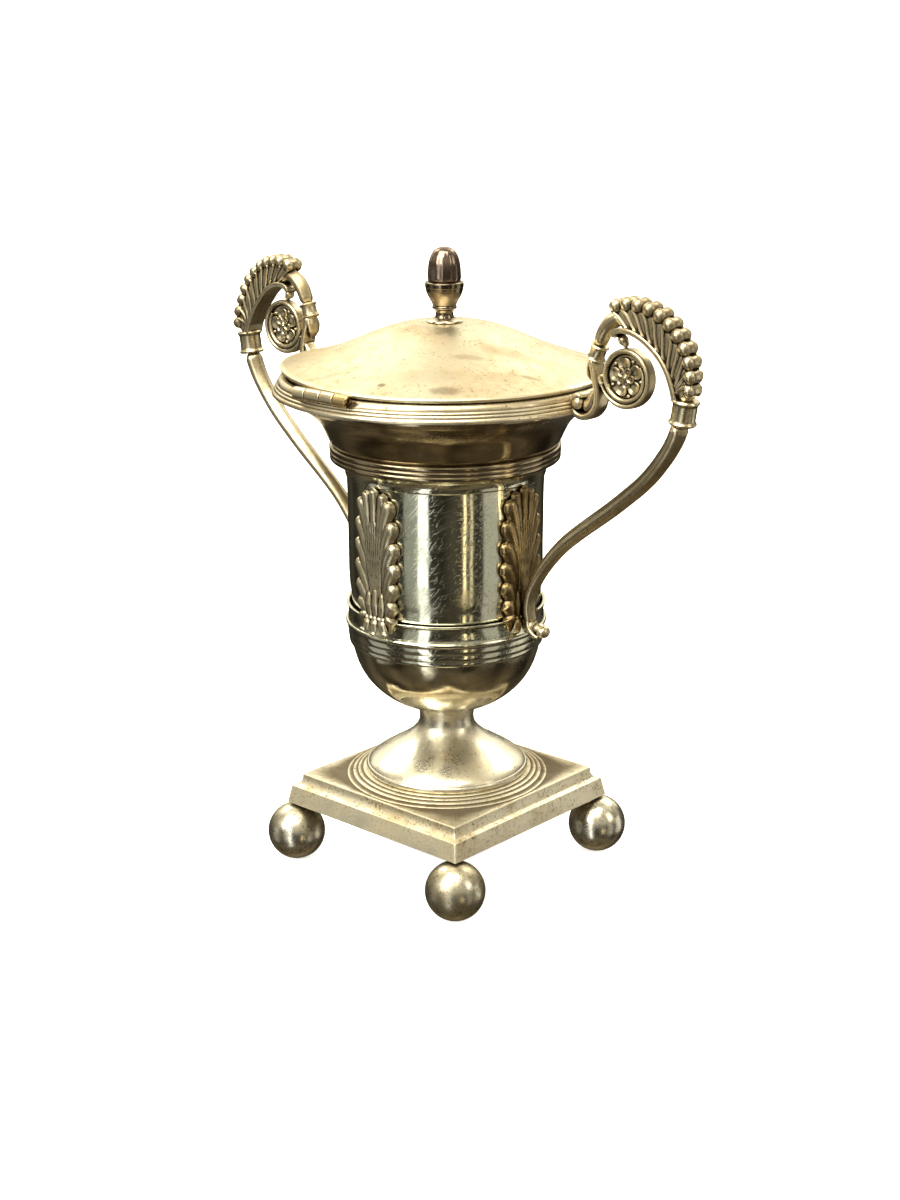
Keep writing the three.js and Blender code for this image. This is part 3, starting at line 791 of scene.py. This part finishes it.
def leaf_band():
    """The band on the leaf's inner side, with a lip along both of its edges."""
    line = smooth(INNER, 6)
    n = len(line)
    wide, thick, lip = 2.75, 0.42, 0.42
    section = [(-thick, -wide), (thick + lip, -wide), (thick + lip, -wide + 0.55), (thick, -wide + 1.0),
               (thick, wide - 1.0), (thick + lip, wide - 0.55), (thick + lip, wide), (-thick, wide)]
    close = np.sqrt(np.clip(np.minimum(1, (n - 1 - np.arange(n)) / 4), 0.05, 1))
    return tube(upright(line), [np.array(section) * [c, 0.6 + 0.4 * c] for c in close])


def leaf_of_handle():
    """The curled leaf: its lipped band, a thick middle, and ribs that lead to rolled tips."""
    parts = [leaf_band()]
    offset = [(x + 0.55 * ux, z + 0.55 * uz) for (x, z), (ux, uz) in zip(INNER[:8], outward(INNER)[:8])]
    parts.append(bar(smooth(offset, 6)[::6], 0.42, 2.95, 12))
    middle = [(71.3, 131.9), (71.2, 136), (70.1, 140), (67.7, 143.6), (64.2, 146.5), (60, 148.2),
              (56.2, 148.8), (53.2, 149.4)]
    thick, wide = (2.4, 2.7, 3.2, 3.6, 3.6, 3.3, 2.7, 1.5), (2.3, 2.1, 1.95, 1.9, 1.9, 1.95, 2.0, 1.8)
    parts.append(bar(middle, thick, wide, 32, round_thick=3.5, round_wide=5))
    parts.append(bar([(71.15, 131.2), (71.6, 133), (72.3, 135)], (2.3, 2.4, 2.0), (2.3, 2.2, 2.0), 24))
    tips, inner = smooth(BEADS, 12), smooth(INNER[:8], 12)
    tip_walk, inner_walk = walked(tips), walked(inner)
    count, hair = 11, 1e-3
    for i in range(count):
        f = i / (count - 1)
        far = f * tip_walk[-1]
        tip = at(far, tip_walk, tips)
        along = at(min(far + 1, tip_walk[-1] - hair) + hair, tip_walk, tips) - at(far - 1, tip_walk, tips)
        along /= np.linalg.norm(along)
        back = max(0.0, f * 0.97 - 0.17) * inner_walk[-1]
        root = at(back, inner_walk, inner)
        run = at(min(back + 3.2, inner_walk[-1]), inner_walk, inner) - root
        out = tip - root
        rib_line = (root, root + 0.2 * out + 0.5 * run, root + 0.58 * out + 0.52 * run,
                    tip + 1.45 * along - 0.12 * out)
        parts.append(roll(tip, 1.7))
        for side in (-1, 1):
            line = [(p[0], side * y, p[1]) for p, y in zip(rib_line, (1.95, 1.95, 2.0, 2.2))]
            parts.append(rib(line, (0.3, 0.36, 0.4, 0.4)))
    parts.append(ball((54.9, 0, 143.3), (1.25, 1.3, 1.25), 12, 18))
    parts.append(ball((55.6, 0, 142.5), (0.8, 0.9, 0.9), 10, 14))
    return fused("leaf_cast", joined(parts), 0.15, 2)


def roll(where, radius):
    """A rolled leaf tip: a short barrel across the handle with a rounded knob at each end."""
    angle = np.linspace(-math.pi / 2, math.pi / 2, 12)
    knob = np.column_stack([radius * np.cos(angle), radius * np.sin(angle)])
    outline = np.vstack([
        knob[:6] + [0, -1.2],
        [(radius * 0.86, -0.6), (radius * 0.86, 0.6)],
        knob[6:] + [0, 1.2],
    ])
    outline[0, 0] = outline[-1, 0] = 0
    part = turned(outline, 20, closed=False)
    return placed(part, (0, 1, 0), (where[0], 0, where[1]))


def rib(line, radii):
    path = smooth(line, 6)
    return tube(path, [oval(r, r, 10) for r in spread(radii, len(path))])


def collar_part(radius, waist, node, rings, lean):
    """A turned collar between two rounded rings. lean is the (x, z) line that it stands along."""
    middle = (low(node) + high(node)) / 2
    direction = np.array([lean[0], 0, lean[1]])
    h = (np.linalg.norm(direction) + 0.5) / 2
    edge, shoulder, hollow = radius - 0.35, radius - 0.3, waist + 0.05
    outline = np.vstack([
        profile(
            (0, -h),
            [(edge, -h)],
            [(radius, -h + rings * 0.5), (shoulder, -h + rings)],
            [(hollow, -h + rings + 0.2), (waist, -h + rings + 0.5)],
            [(waist, h - rings - 0.5)],
            [(hollow, h - rings - 0.2), (shoulder, h - rings)],
        ),
        profile((edge, h - rings), [(radius, h - rings * 0.5), (shoulder, h)], [(edge, h)], [(0, h)]),
    ])
    return placed(turned(outline, FINE, closed=False), direction, middle)


def strap_part():
    """The bracket strap: it hangs from the arm, fans into a fluted scroll and rests on the rim."""
    path = [(46.9, 138.5), (47.5, 136), (48.3, 133), (48.9, 130), (48.6, 127.4), (46.9, 125.2), (44.6, 124.5),
            (42.8, 125.1), (41.85, 126.7), (42.1, 128.6), (43.4, 129.4), (44.5, 128.7)]
    thick = (0.75, 0.8, 0.85, 0.9, 0.9, 0.85, 0.75, 0.6)
    wide = (2.2, 2.3, 2.35, 2.45, 2.5, 2.5, 2.4, 2.1)
    pin = smooth([(0, -2.9), (0.9, -2.7), (1.35, -2.2), (1.4, 0), (1.35, 2.2), (0.9, 2.7), (0, 2.9)])
    web = [(48.2, 131.5), (47.2, 129), (45.9, 127.2), (44.2, 126.6)]
    tongue = [(46.7, 138.4), (46.2, 136.4), (46.1, 134.4), (46.9, 132.3)]
    parts = [
        bar(path, thick, wide, 24, round_thick=3.5, round_wide=4),
        bar([(43.1, 127.4), (43.4, 127.5), (43.8, 127.5)], 1.7, 2.15, 20),
        placed(turned(pin, 24, closed=False), (0, 1, 0), (43.3, 0, 127.5)),
        bar(web, (0.4, 1.3, 1.7, 1.3), (1.6, 1.9, 1.95, 1.9), 20, round_wide=4),
        bar(tongue, (0.6, 0.75, 0.6, 0.2), (1.7, 2.2, 1.8, 0.4), 20),
        bar([(48.3, 134.6), (49.2, 133.2), (50.1, 131.8)], 0.7, 1.5, 16),
    ]
    return fused("strap_cast", joined(parts), 0.15, 2)


def volute_part():
    """The large spiral: a rounded strap wound round a flat plate, which carries the flower."""
    eye = (low("handle_rosette_right") + high("handle_rosette_right")) / 2
    eye[1] = 0
    turns, steps = 1.55, 110
    path, rings = [], []
    for f in np.arange(steps + 1) / steps:
        angle = math.radians(196) + turns * TAU * f
        radius = 6.95 - 1.9 * f
        path.append(eye + [radius * math.cos(angle), 0, radius * math.sin(angle)])
        thick = 0.62 * min(1, 0.3 + 8 * f, 0.25 + 9 * (1 - f))
        rings.append(oval(thick, 1.75 - 0.25 * f, 24, 2.0, 5.0))
    plate = turned([(0, -0.4), (6.2, -0.4), (6.2, 0.4), (0, 0.4)], 48, closed=False)
    parts = [tube(path, rings), placed(plate, (0, 1, 0), eye)]
    return fused("volute_cast", joined(parts), 0.15, 2), eye


def flower_relief(x, z):
    """How far the flower stands off its plate: five wide petals, five small ones, a button
    and a pearl between each two petals."""
    height = np.full(x.shape, 0.12)

    def pad(u, v, middle, long, wide, base, dish):
        inside_by = 1 - np.hypot((u - middle) / long, v / wide * (1 - 0.32 * (u - middle) / long))
        edge = np.clip(inside_by / 0.12, 0, 1)
        return edge * (base - dish * np.clip((inside_by - 0.12) / 0.5, 0, 1))

    def turned_by(degrees):
        a = math.radians(degrees)
        return z * math.cos(a) - x * math.sin(a), x * math.cos(a) + z * math.sin(a)

    for k in range(5):
        u, v = turned_by(72 * k + 10)
        height = np.maximum(height, pad(u, v, 2.85, 1.85, 1.72, 0.72, 0.34))
        u, v = turned_by(72 * k + 46)
        height = np.maximum(height, pad(u, v, 1.42, 1.15, 0.98, 1.05, 0.34))
        height = np.maximum(height, 0.75 * np.sqrt(np.clip(1 - ((u - 4.25) ** 2 + v**2) / 0.5**2, 0, 1)))
    return np.maximum(height, 1.25 * np.sqrt(np.clip(1 - (x**2 + z**2) / 0.62**2, 0, 1)))


def flower_part(eye):
    """The flower on both sides of its plate, as one closed skin."""
    rings, columns, reach = 70, 220, 4.8
    angle = np.arange(columns) * TAU / columns
    radius = np.linspace(0.02, reach, rings)[:, None]
    x, z = radius * np.cos(angle), radius * np.sin(angle)
    front = 0.33 + flower_relief(x, z)
    near = np.stack([eye[0] + x, eye[1] - front, eye[2] + z], axis=2)
    far = np.stack([eye[0] - x, eye[1] + front, eye[2] + z], axis=2)[::-1]
    far = far[:, (columns // 2 - np.arange(columns)) % columns]
    points = np.vstack([near, far]).reshape(-1, 3)
    return points, bands(2 * rings, columns) + caps(2 * rings, columns)


def foot_part():
    """The small scrolled foot against the vase, with its knob and two raised edges."""
    sole = [(28.7, 71.2), (28.6, 69.6), (29.6, 68.2), (31.2, 67.5)]
    parts = [
        bar(sole, (1.7, 1.6, 1.4, 1.2), (1.9, 2.0, 2.0, 1.8), 24),
        bar([(30, 69.6), (31.1, 69.6), (32.2, 69.2)], (1.1, 1.1, 0.9), (1.9, 1.9, 1.7), 20),
        ball((32.35, 0, 68.75), (1.6, 1.85, 1.6), 16, 24),
    ]
    for y in (-1.3, 1.3):
        line = [(28.2, y, 72), (28.7, y * 1.2, 70), (30, y * 1.3, 68.3), (31.8, y * 1.2, 67.4)]
        parts.append(rib(line, (0.3, 0.45, 0.5, 0.4)))
    parts.append(bar([(26.2, 69), (27.6, 69.1), (29, 69)], (1.5, 1.5, 1.2), (1.7, 1.8, 1.7), 20))
    return fused("foot_cast", joined(parts), 0.15, 2)


def bent(name, part, side):
    """The two handles were bent by hand: the right-hand one stands further out at its collar,
    and the left-hand leaf is less full."""
    points = part[0].copy()
    x, z = points[:, 0].copy(), points[:, 2]
    if side == "right" and name in ("rod", "collar", "leaf"):
        share = np.interp(z, (80, 112, 134, 146), (0, 1, 1, 0))
        if name == "leaf":
            share *= np.interp(x, (58, 66, 71, 76), (0, 1, 1, 0.2))
        points[:, 0] += 1.6 * share
    if side == "left" and name == "leaf":
        points[:, 0] -= 2.2 * np.interp(z, (134, 141, 150), (0, 0.9, 1)) * np.interp(x, (56, 68), (0, 1))
    return points, part[1]


def handles():
    volute, eye = volute_part()
    ridge = dict(round_thick=2.2, round_wide=1.1)
    rod_thick, rod_wide = (1.55, 1.7, 1.9, 2.0, 2.1, 2.2, 2.35), (1.9, 2.0, 2.1, 2.2, 2.3, 2.4, 2.5)
    arm_thick, arm_wide = (1.85, 1.9, 2.0, 2.0, 1.9, 1.7), (1.95, 2.0, 2.1, 2.1, 2.0, 1.8)
    parts = {
        "rod": bar(ROD_PATH, rod_thick, rod_wide, 32, per=8, **ridge),
        "foot": foot_part(),
        "collar": collar_part(3.3, 2.85, "handle_collar_right", 0.95, (0.8, 5.3)),
        "leaf": leaf_of_handle(),
        "arm": bar(ARM_PATH, arm_thick, arm_wide, 32, **ridge),
        "arm_collar": collar_part(2.38, 1.95, "handle_arm_collar_right", 0.7, (1.15, 3.1)),
        "strap": strap_part(),
        "volute": volute,
        "rosette": flower_part(eye),
    }
    for side, degrees in (("right", 0), ("left", 180)):
        for name, part in parts.items():
            crease = 80 if name in ("leaf", "strap", "volute", "rosette", "foot") else 40
            shape = about_z(bent(name, part, side), degrees)
            piece(f"scroll_{name}_{side}", shape, CAST, "vessel", f"handle_{name}_{side}", crease=crease)


# ---- lid, finial and hinge ------------------------------------------------------------
def lid():
    """The domed lid, with dents, one crease and an edge that is bent up at the left, and its bezel."""
    edge, rise = foot("lid"), tall("lid")
    reach = high("lid")[1]
    top = profile(
        (reach - 1.2, 0.0), [(reach - 0.45, 0.0)],
        [(reach - 0.05, 0.3), (reach, 0.75), (reach - 0.35, 1.12)],
        [(35, 2.85), (29, 4.95), (23, 7.35), (18, 9.45), (13, 11.3), (9, rise - 0.12),
         (6.5, rise)],
        [(0, rise)],
    )
    under = profile(
        (0, rise - 0.9), [(6.5, rise - 0.9)],
        [(13, 10.4), (18, 8.5), (23, 6.4), (29, 4.0), (35, 1.9), (reach - 1.5, 0.6)],
    )
    outline = np.vstack([top, under]) + [0, edge]
    points, faces = turned(outline, 256, closed=False)
    bent_side = math.radians(VIEW_AZIMUTH + 180)
    for p in points:
        out = math.hypot(p[0], p[1])
        wave = noise.noise(Vector((p[0] / 17, p[1] / 17, 4.2)))
        wave += 0.5 * noise.noise(Vector((p[0] / 7, p[1] / 7, 9)))
        fade = math.sin(math.pi * min(1, out / 40)) ** 0.5 if out < 40 else 0
        dent = 0.2 * wave * fade
        if p[0] > 6:
            off_crease = abs(p[1] - 0.25 * p[0] + 2) / 1.6
            dent += 0.28 * math.exp(-off_crease**2) * fade * math.exp(-((out - 16) / 9) ** 2)
        raised = max(0.0, math.cos(math.atan2(p[1], p[0]) - bent_side)) ** 3
        p[2] += dent + 1.25 * raised * (out / 40) ** 6
    clear_of_hinge(points, 0.5)
    points[:, 2] = np.minimum(points[:, 2], edge + rise)
    piece("lid_dome", (points, faces), LID, "lid", "lid", crease=50)

    height = tall("lid_bezel")
    outer = high("lid_bezel")[0]
    outline = profile(
        (outer - 0.8, 0.1), [(outer - 0.65, 0), (outer - 0.15, 0), (outer, 0.2)],
        [(outer, height + 0.6)],
        [(outer - 0.8, height + 0.6)],
    )
    spun("lid_collar", "lid_bezel", outline, POLISHED, "lid")


def finial():
    """The leafy seat with its screw, the turned cup and the fluted acorn."""
    petals = 8
    outline = profile(
        (0, 0), [(3.7, 0)],
        [(4.3, 0.12), (4.45, 0.4), (4.1, 0.72), (3.3, 0.85)],
        [(2.6, 1.0), (2.3, 1.25)],
        [(0, 1.25)],
    ) + [0, high("lid")[2] - 0.05]
    points, faces = turned(outline, 128, closed=False)
    for p in points:
        share = (math.hypot(p[0], p[1]) - 2.6) / 1.8
        if share > 0:
            wave = abs(math.sin(petals / 2 * math.atan2(p[1], p[0])))
            p[:2] *= 1 + 0.09 * (wave - 0.75) * share
            p[2] += 0.16 * (1 - wave) * share
    screw = np.array([(0, -3.4), (1.3, -3.4), (1.3, 0.6), (0, 0.6)]) + [0, high("lid")[2]]
    parts = [(points, faces), turned(screw, FINE, closed=False)]
    piece("finial_leaf_seat", joined(parts), SATIN, "lid", "finial_seat", crease=50)

    outline = profile(
        (0, 0), [(2.5, 0)],
        [(2.25, 0.6), (2.2, 1.3), (2.45, 1.9)],
        [(2.95, 2.2), (3.05, 2.6), (2.85, 2.95)],
        [(3.3, 4.0), (4.0, 5.2), (4.5, 6.4), (4.68, 7.3)],
        [(4.78, 7.6), (4.78, 8.2), (4.7, 8.5), (4.5, 8.65)],
        [(4.2, 8.75), (4.0, 8.6), (0, 8.6)],
    )
    outline[:, 0] = np.minimum(outline[:, 0], 4.75)
    outline[:, 1] = np.minimum(outline[:, 1], tall("finial_cup"))
    spun("finial_turned_cup", "finial_cup", outline, CUP, "lid", 96, closed=False)

    z, height = foot("finial_acorn"), tall("finial_acorn")
    outline = profile(
        (0, 0), [(3.9, 0)],
        [(4.12, 0.6), (4.13, 1.6), (4.03, 3.2), (3.78, 4.8), (3.3, 6.2), (2.5, 7.4), (1.5, 8.0),
         (0.7, 8.22), (0, height)],
    ) + [0, z]
    points, faces = turned(outline, 140, closed=False)
    flutes = 14
    for p in points:
        flat = math.cos(flutes * math.atan2(p[1], p[0]))
        up = min(1, max(0, (p[2] - z) / 1.2)) * min(1, max(0, (z + height - p[2]) / 1.5))
        p[:2] *= 1 + 0.012 * (flat - 1) * up
    piece("finial_acorn_nut", (points, faces), DARK, "lid", "finial_acorn", crease=60)


def hinge():
    axis_y, axis_z = hinge_axis()
    for name, body, look in (("rim_outer", "vessel", KNUCKLE), ("lid_inner", "lid", KNUCKLE),
                             ("rim_inner", "vessel", KNUCKLE), ("lid_end", "lid", BRASS)):
        node = f"hinge_knuckle_{name}"
        lo, hi = low(node), high(node)
        middle, half, r = (lo[0] + hi[0]) / 2, (hi[0] - lo[0]) / 2 + 0.04, (hi[1] - lo[1]) / 2
        bore = 1.12 if name == "lid_end" else 0.75
        outline = profile(
            (bore, -half + 0.05), [(bore + 0.1, -half)],
            [(r - 0.3, -half)],
            [(r - 0.09, -half + 0.07), (r, -half + 0.22)],
            [(r, half - 0.22)],
            [(r - 0.09, half - 0.07), (r - 0.3, half)],
            [(bore + 0.1, half)],
            [(bore, half - 0.05)],
        )
        part = placed(turned(outline, FINE), (1, 0, 0), (middle, axis_y, axis_z))
        if name == "lid_end":
            for p in part[0]:
                if p[0] > middle:
                    angle = math.atan2(p[2] - axis_z, p[1] - axis_y)
                    torn = 0.5 + 0.5 * math.sin(angle + 2.6) + 0.12 * math.sin(5 * angle)
                    p[0] -= 1.5 * max(0, torn) * (p[0] - middle) / half
        piece(f"knuckle_{name}", part, look, body, node, crease=28)
    lo, hi = low("hinge_pin"), high("hinge_pin")
    half = (hi[0] - lo[0]) / 2 - 0.1
    pin = profile(
        (0, -half), [(0.45, -half)],
        [(0.6, -half + 0.15)],
        [(0.6, half - 1.6)],
        [(0.5, half - 1.3), (0, half - 1.2)],
    )
    part = placed(turned(pin, 32, closed=False), (1, 0, 0), ((lo[0] + hi[0]) / 2, axis_y, axis_z))
    piece("hinge_pin_wire", part, BRASS, "vessel", "hinge_pin")


def hidden_pieces():
    """The plain pieces inside keep their own shape and get old silver."""
    for name, node in frame["nodes"].items():
        if name.startswith(("corner_gusset", "tie_", "finial_nut")):
            node.data.materials.clear()
            node.data.materials.append(CAST[0])


# ---- set, lights and camera -----------------------------------------------------------
VIEW_ELEVATION = 18.63
VIEW_DISTANCE = 0.5147
VIEW_ROLL = -0.31
AIM_SHARE = 0.347  # height of the point that the camera faces, as a share of the object's
LENS = 59.64
SHIFT = (0.003, 0.046)


LIGHT_AIM = 0.08  # height of the point that every light faces
LIGHTS = (  # name, degrees right of the camera, degrees up, distance, (width, height), watts, colour
    ("window_left", -26, -12, 1.2, (0.24, 1.8), 2.1, (1, 1, 0.94)),
    ("window_glow", -38, -4, 1.25, (0.5, 1.2), 0.6, (0.98, 1, 0.85)),
    ("slit_right", 22, -17, 1.2, (0.06, 0.42), 0.17, (1, 0.80, 0.45)),
    ("slit_far_right", 30, -17, 1.2, (0.06, 0.42), 0.07, (1, 0.88, 0.55)),
    ("left_low", -86, -14, 1.3, (0.6, 0.9), 0.6, (1, 0.98, 0.85)),
    ("right_low", 54, -15, 1.3, (0.42, 0.9), 0.45, (1, 0.96, 0.80)),
    ("right_side_low", 94, -10, 1.3, (0.6, 0.9), 1.3, (1, 0.95, 0.80)),
    ("overhead", -25, 66, 1.1, (0.9, 0.8), 13, (1, 0.94, 0.76)),
    ("key", -48, 33, 1.2, (0.65, 0.65), 8, (1, 0.96, 0.82)),
    ("right_fill", 62, 30, 1.3, (0.4, 0.7), 1.8, (1, 0.92, 0.74)),
    ("back_rim", 180, 30, 1.3, (2.6, 1.2), 8.5, (1, 0.94, 0.76)),
    ("back_left_high", -138, 42, 1.3, (0.5, 0.5), 3.5, (1, 0.94, 0.75)),
    ("back_right_high", 138, 42, 1.3, (0.5, 0.5), 2.5, (1, 0.92, 0.72)),
)
SKY = (  # height as a share from straight down to straight up, colour
    (0.0, (0.13, 0.10, 0.055, 1)),
    (0.22, (0.05, 0.042, 0.028, 1)),
    (0.42, (0.045, 0.04, 0.03, 1)),
    (0.52, (0.11, 0.10, 0.08, 1)),
    (0.68, (0.34, 0.31, 0.23, 1)),
    (1.0, (0.68, 0.62, 0.48, 1)),
)


def facing(data, right, up, distance, aim, roll=0.0):
    """Puts a camera or a light at an angle to the right of the view and above the table, turned
    to the point at height aim on the object's axis."""
    a, e = math.radians(VIEW_AZIMUTH + right), math.radians(up)
    back = Vector((math.sin(a) * math.cos(e), -math.cos(a) * math.cos(e), math.sin(e)))
    obj = bpy.data.objects.new(data.name, data)
    obj.location = Vector((0, 0, aim)) + back * distance
    obj.rotation_mode = "QUATERNION"
    obj.rotation_quaternion = (-back).to_track_quat("-Z", "Y") @ Quaternion((0, 0, 1), math.radians(roll))
    bpy.context.scene.collection.objects.link(obj)
    return obj


def camera():
    data = bpy.data.cameras.new("camera")
    data.lens = LENS
    data.sensor_width = 36
    data.shift_x, data.shift_y = SHIFT
    data.clip_start, data.clip_end = 0.05, 100
    aim = AIM_SHARE * (cad_bounds[1][2] - cad_bounds[0][2])
    bpy.context.scene.camera = facing(data, 0, VIEW_ELEVATION, VIEW_DISTANCE, aim, VIEW_ROLL)


def softbox(name, right, up, distance, size, power, colour):
    data = bpy.data.lights.new(name, "AREA")
    data.shape = "RECTANGLE"
    data.size, data.size_y = size
    data.energy = power
    data.color = colour
    facing(data, right, up, distance, LIGHT_AIM)


def room():
    """The light of the room: dark below, light above, with some cloudy unevenness."""
    world = bpy.data.worlds.new("studio")
    bpy.context.scene.world = world
    n = Nodes(world, "Generated")
    split = n.add("ShaderNodeSeparateXYZ", {0: n.place})
    ramp = n.add("ShaderNodeValToRGB", {"Fac": n.window(split.outputs["Z"], -1, 1, 0, 1, "LINEAR")})
    while len(ramp.color_ramp.elements) < len(SKY):
        ramp.color_ramp.elements.new(0.5)
    for element, (position, colour) in zip(ramp.color_ramp.elements, SKY):
        element.position = position
        element.color = colour
    vary = n.window(n.noise(2.2, 2, 0.5), 0.35, 0.65, 0.35, 1.9, "LINEAR")
    background = n.tree.nodes["Background"]
    n.feed(background.inputs["Color"], n.mix(1.0, ramp.outputs["Color"], vary, "MULTIPLY"))
    background.inputs["Strength"].default_value = 1.0


def sweep():
    """A round floor of white paper that curves up into a wall on every side."""
    wall, bend, top, steps = 3.0, 1.2, 4.0, 12
    bow = [(wall + bend * math.sin(a), bend * (1 - math.cos(a))) for a in np.linspace(0, math.pi / 2, steps)]
    points, faces = turned(np.array([(0, 0), (0.6, 0), *bow, (wall + bend, top)]) / MM, 96, closed=False)
    floor = bpy.data.objects.new("floor", clean_mesh("floor", (points, faces)))
    floor.data.shade_smooth()
    bpy.context.scene.collection.objects.link(floor)
    paper = bpy.data.materials.new("paper")
    paper.use_nodes = True
    shader = paper.node_tree.nodes["Principled BSDF"]
    shader.inputs["Base Color"].default_value = (0.93, 0.93, 0.92, 1)
    shader.inputs["Roughness"].default_value = 0.9
    shader.inputs["Specular IOR Level"].default_value = 0.0
    shader.inputs["Emission Color"].default_value = (1, 1, 0.985, 1)
    shader.inputs["Emission Strength"].default_value = 0.62
    floor.data.materials.append(paper)
    floor.visible_glossy = False
    floor.visible_shadow = False


camera()
for light in LIGHTS:
    softbox(*light)
room()
sweep()
bpy.context.scene.view_settings.view_transform = "Standard"
ball_feet()
plinth()
pedestal()
vase()
rim()
palmettes()
handles()
lid()
finial()
hinge()
hidden_pieces()
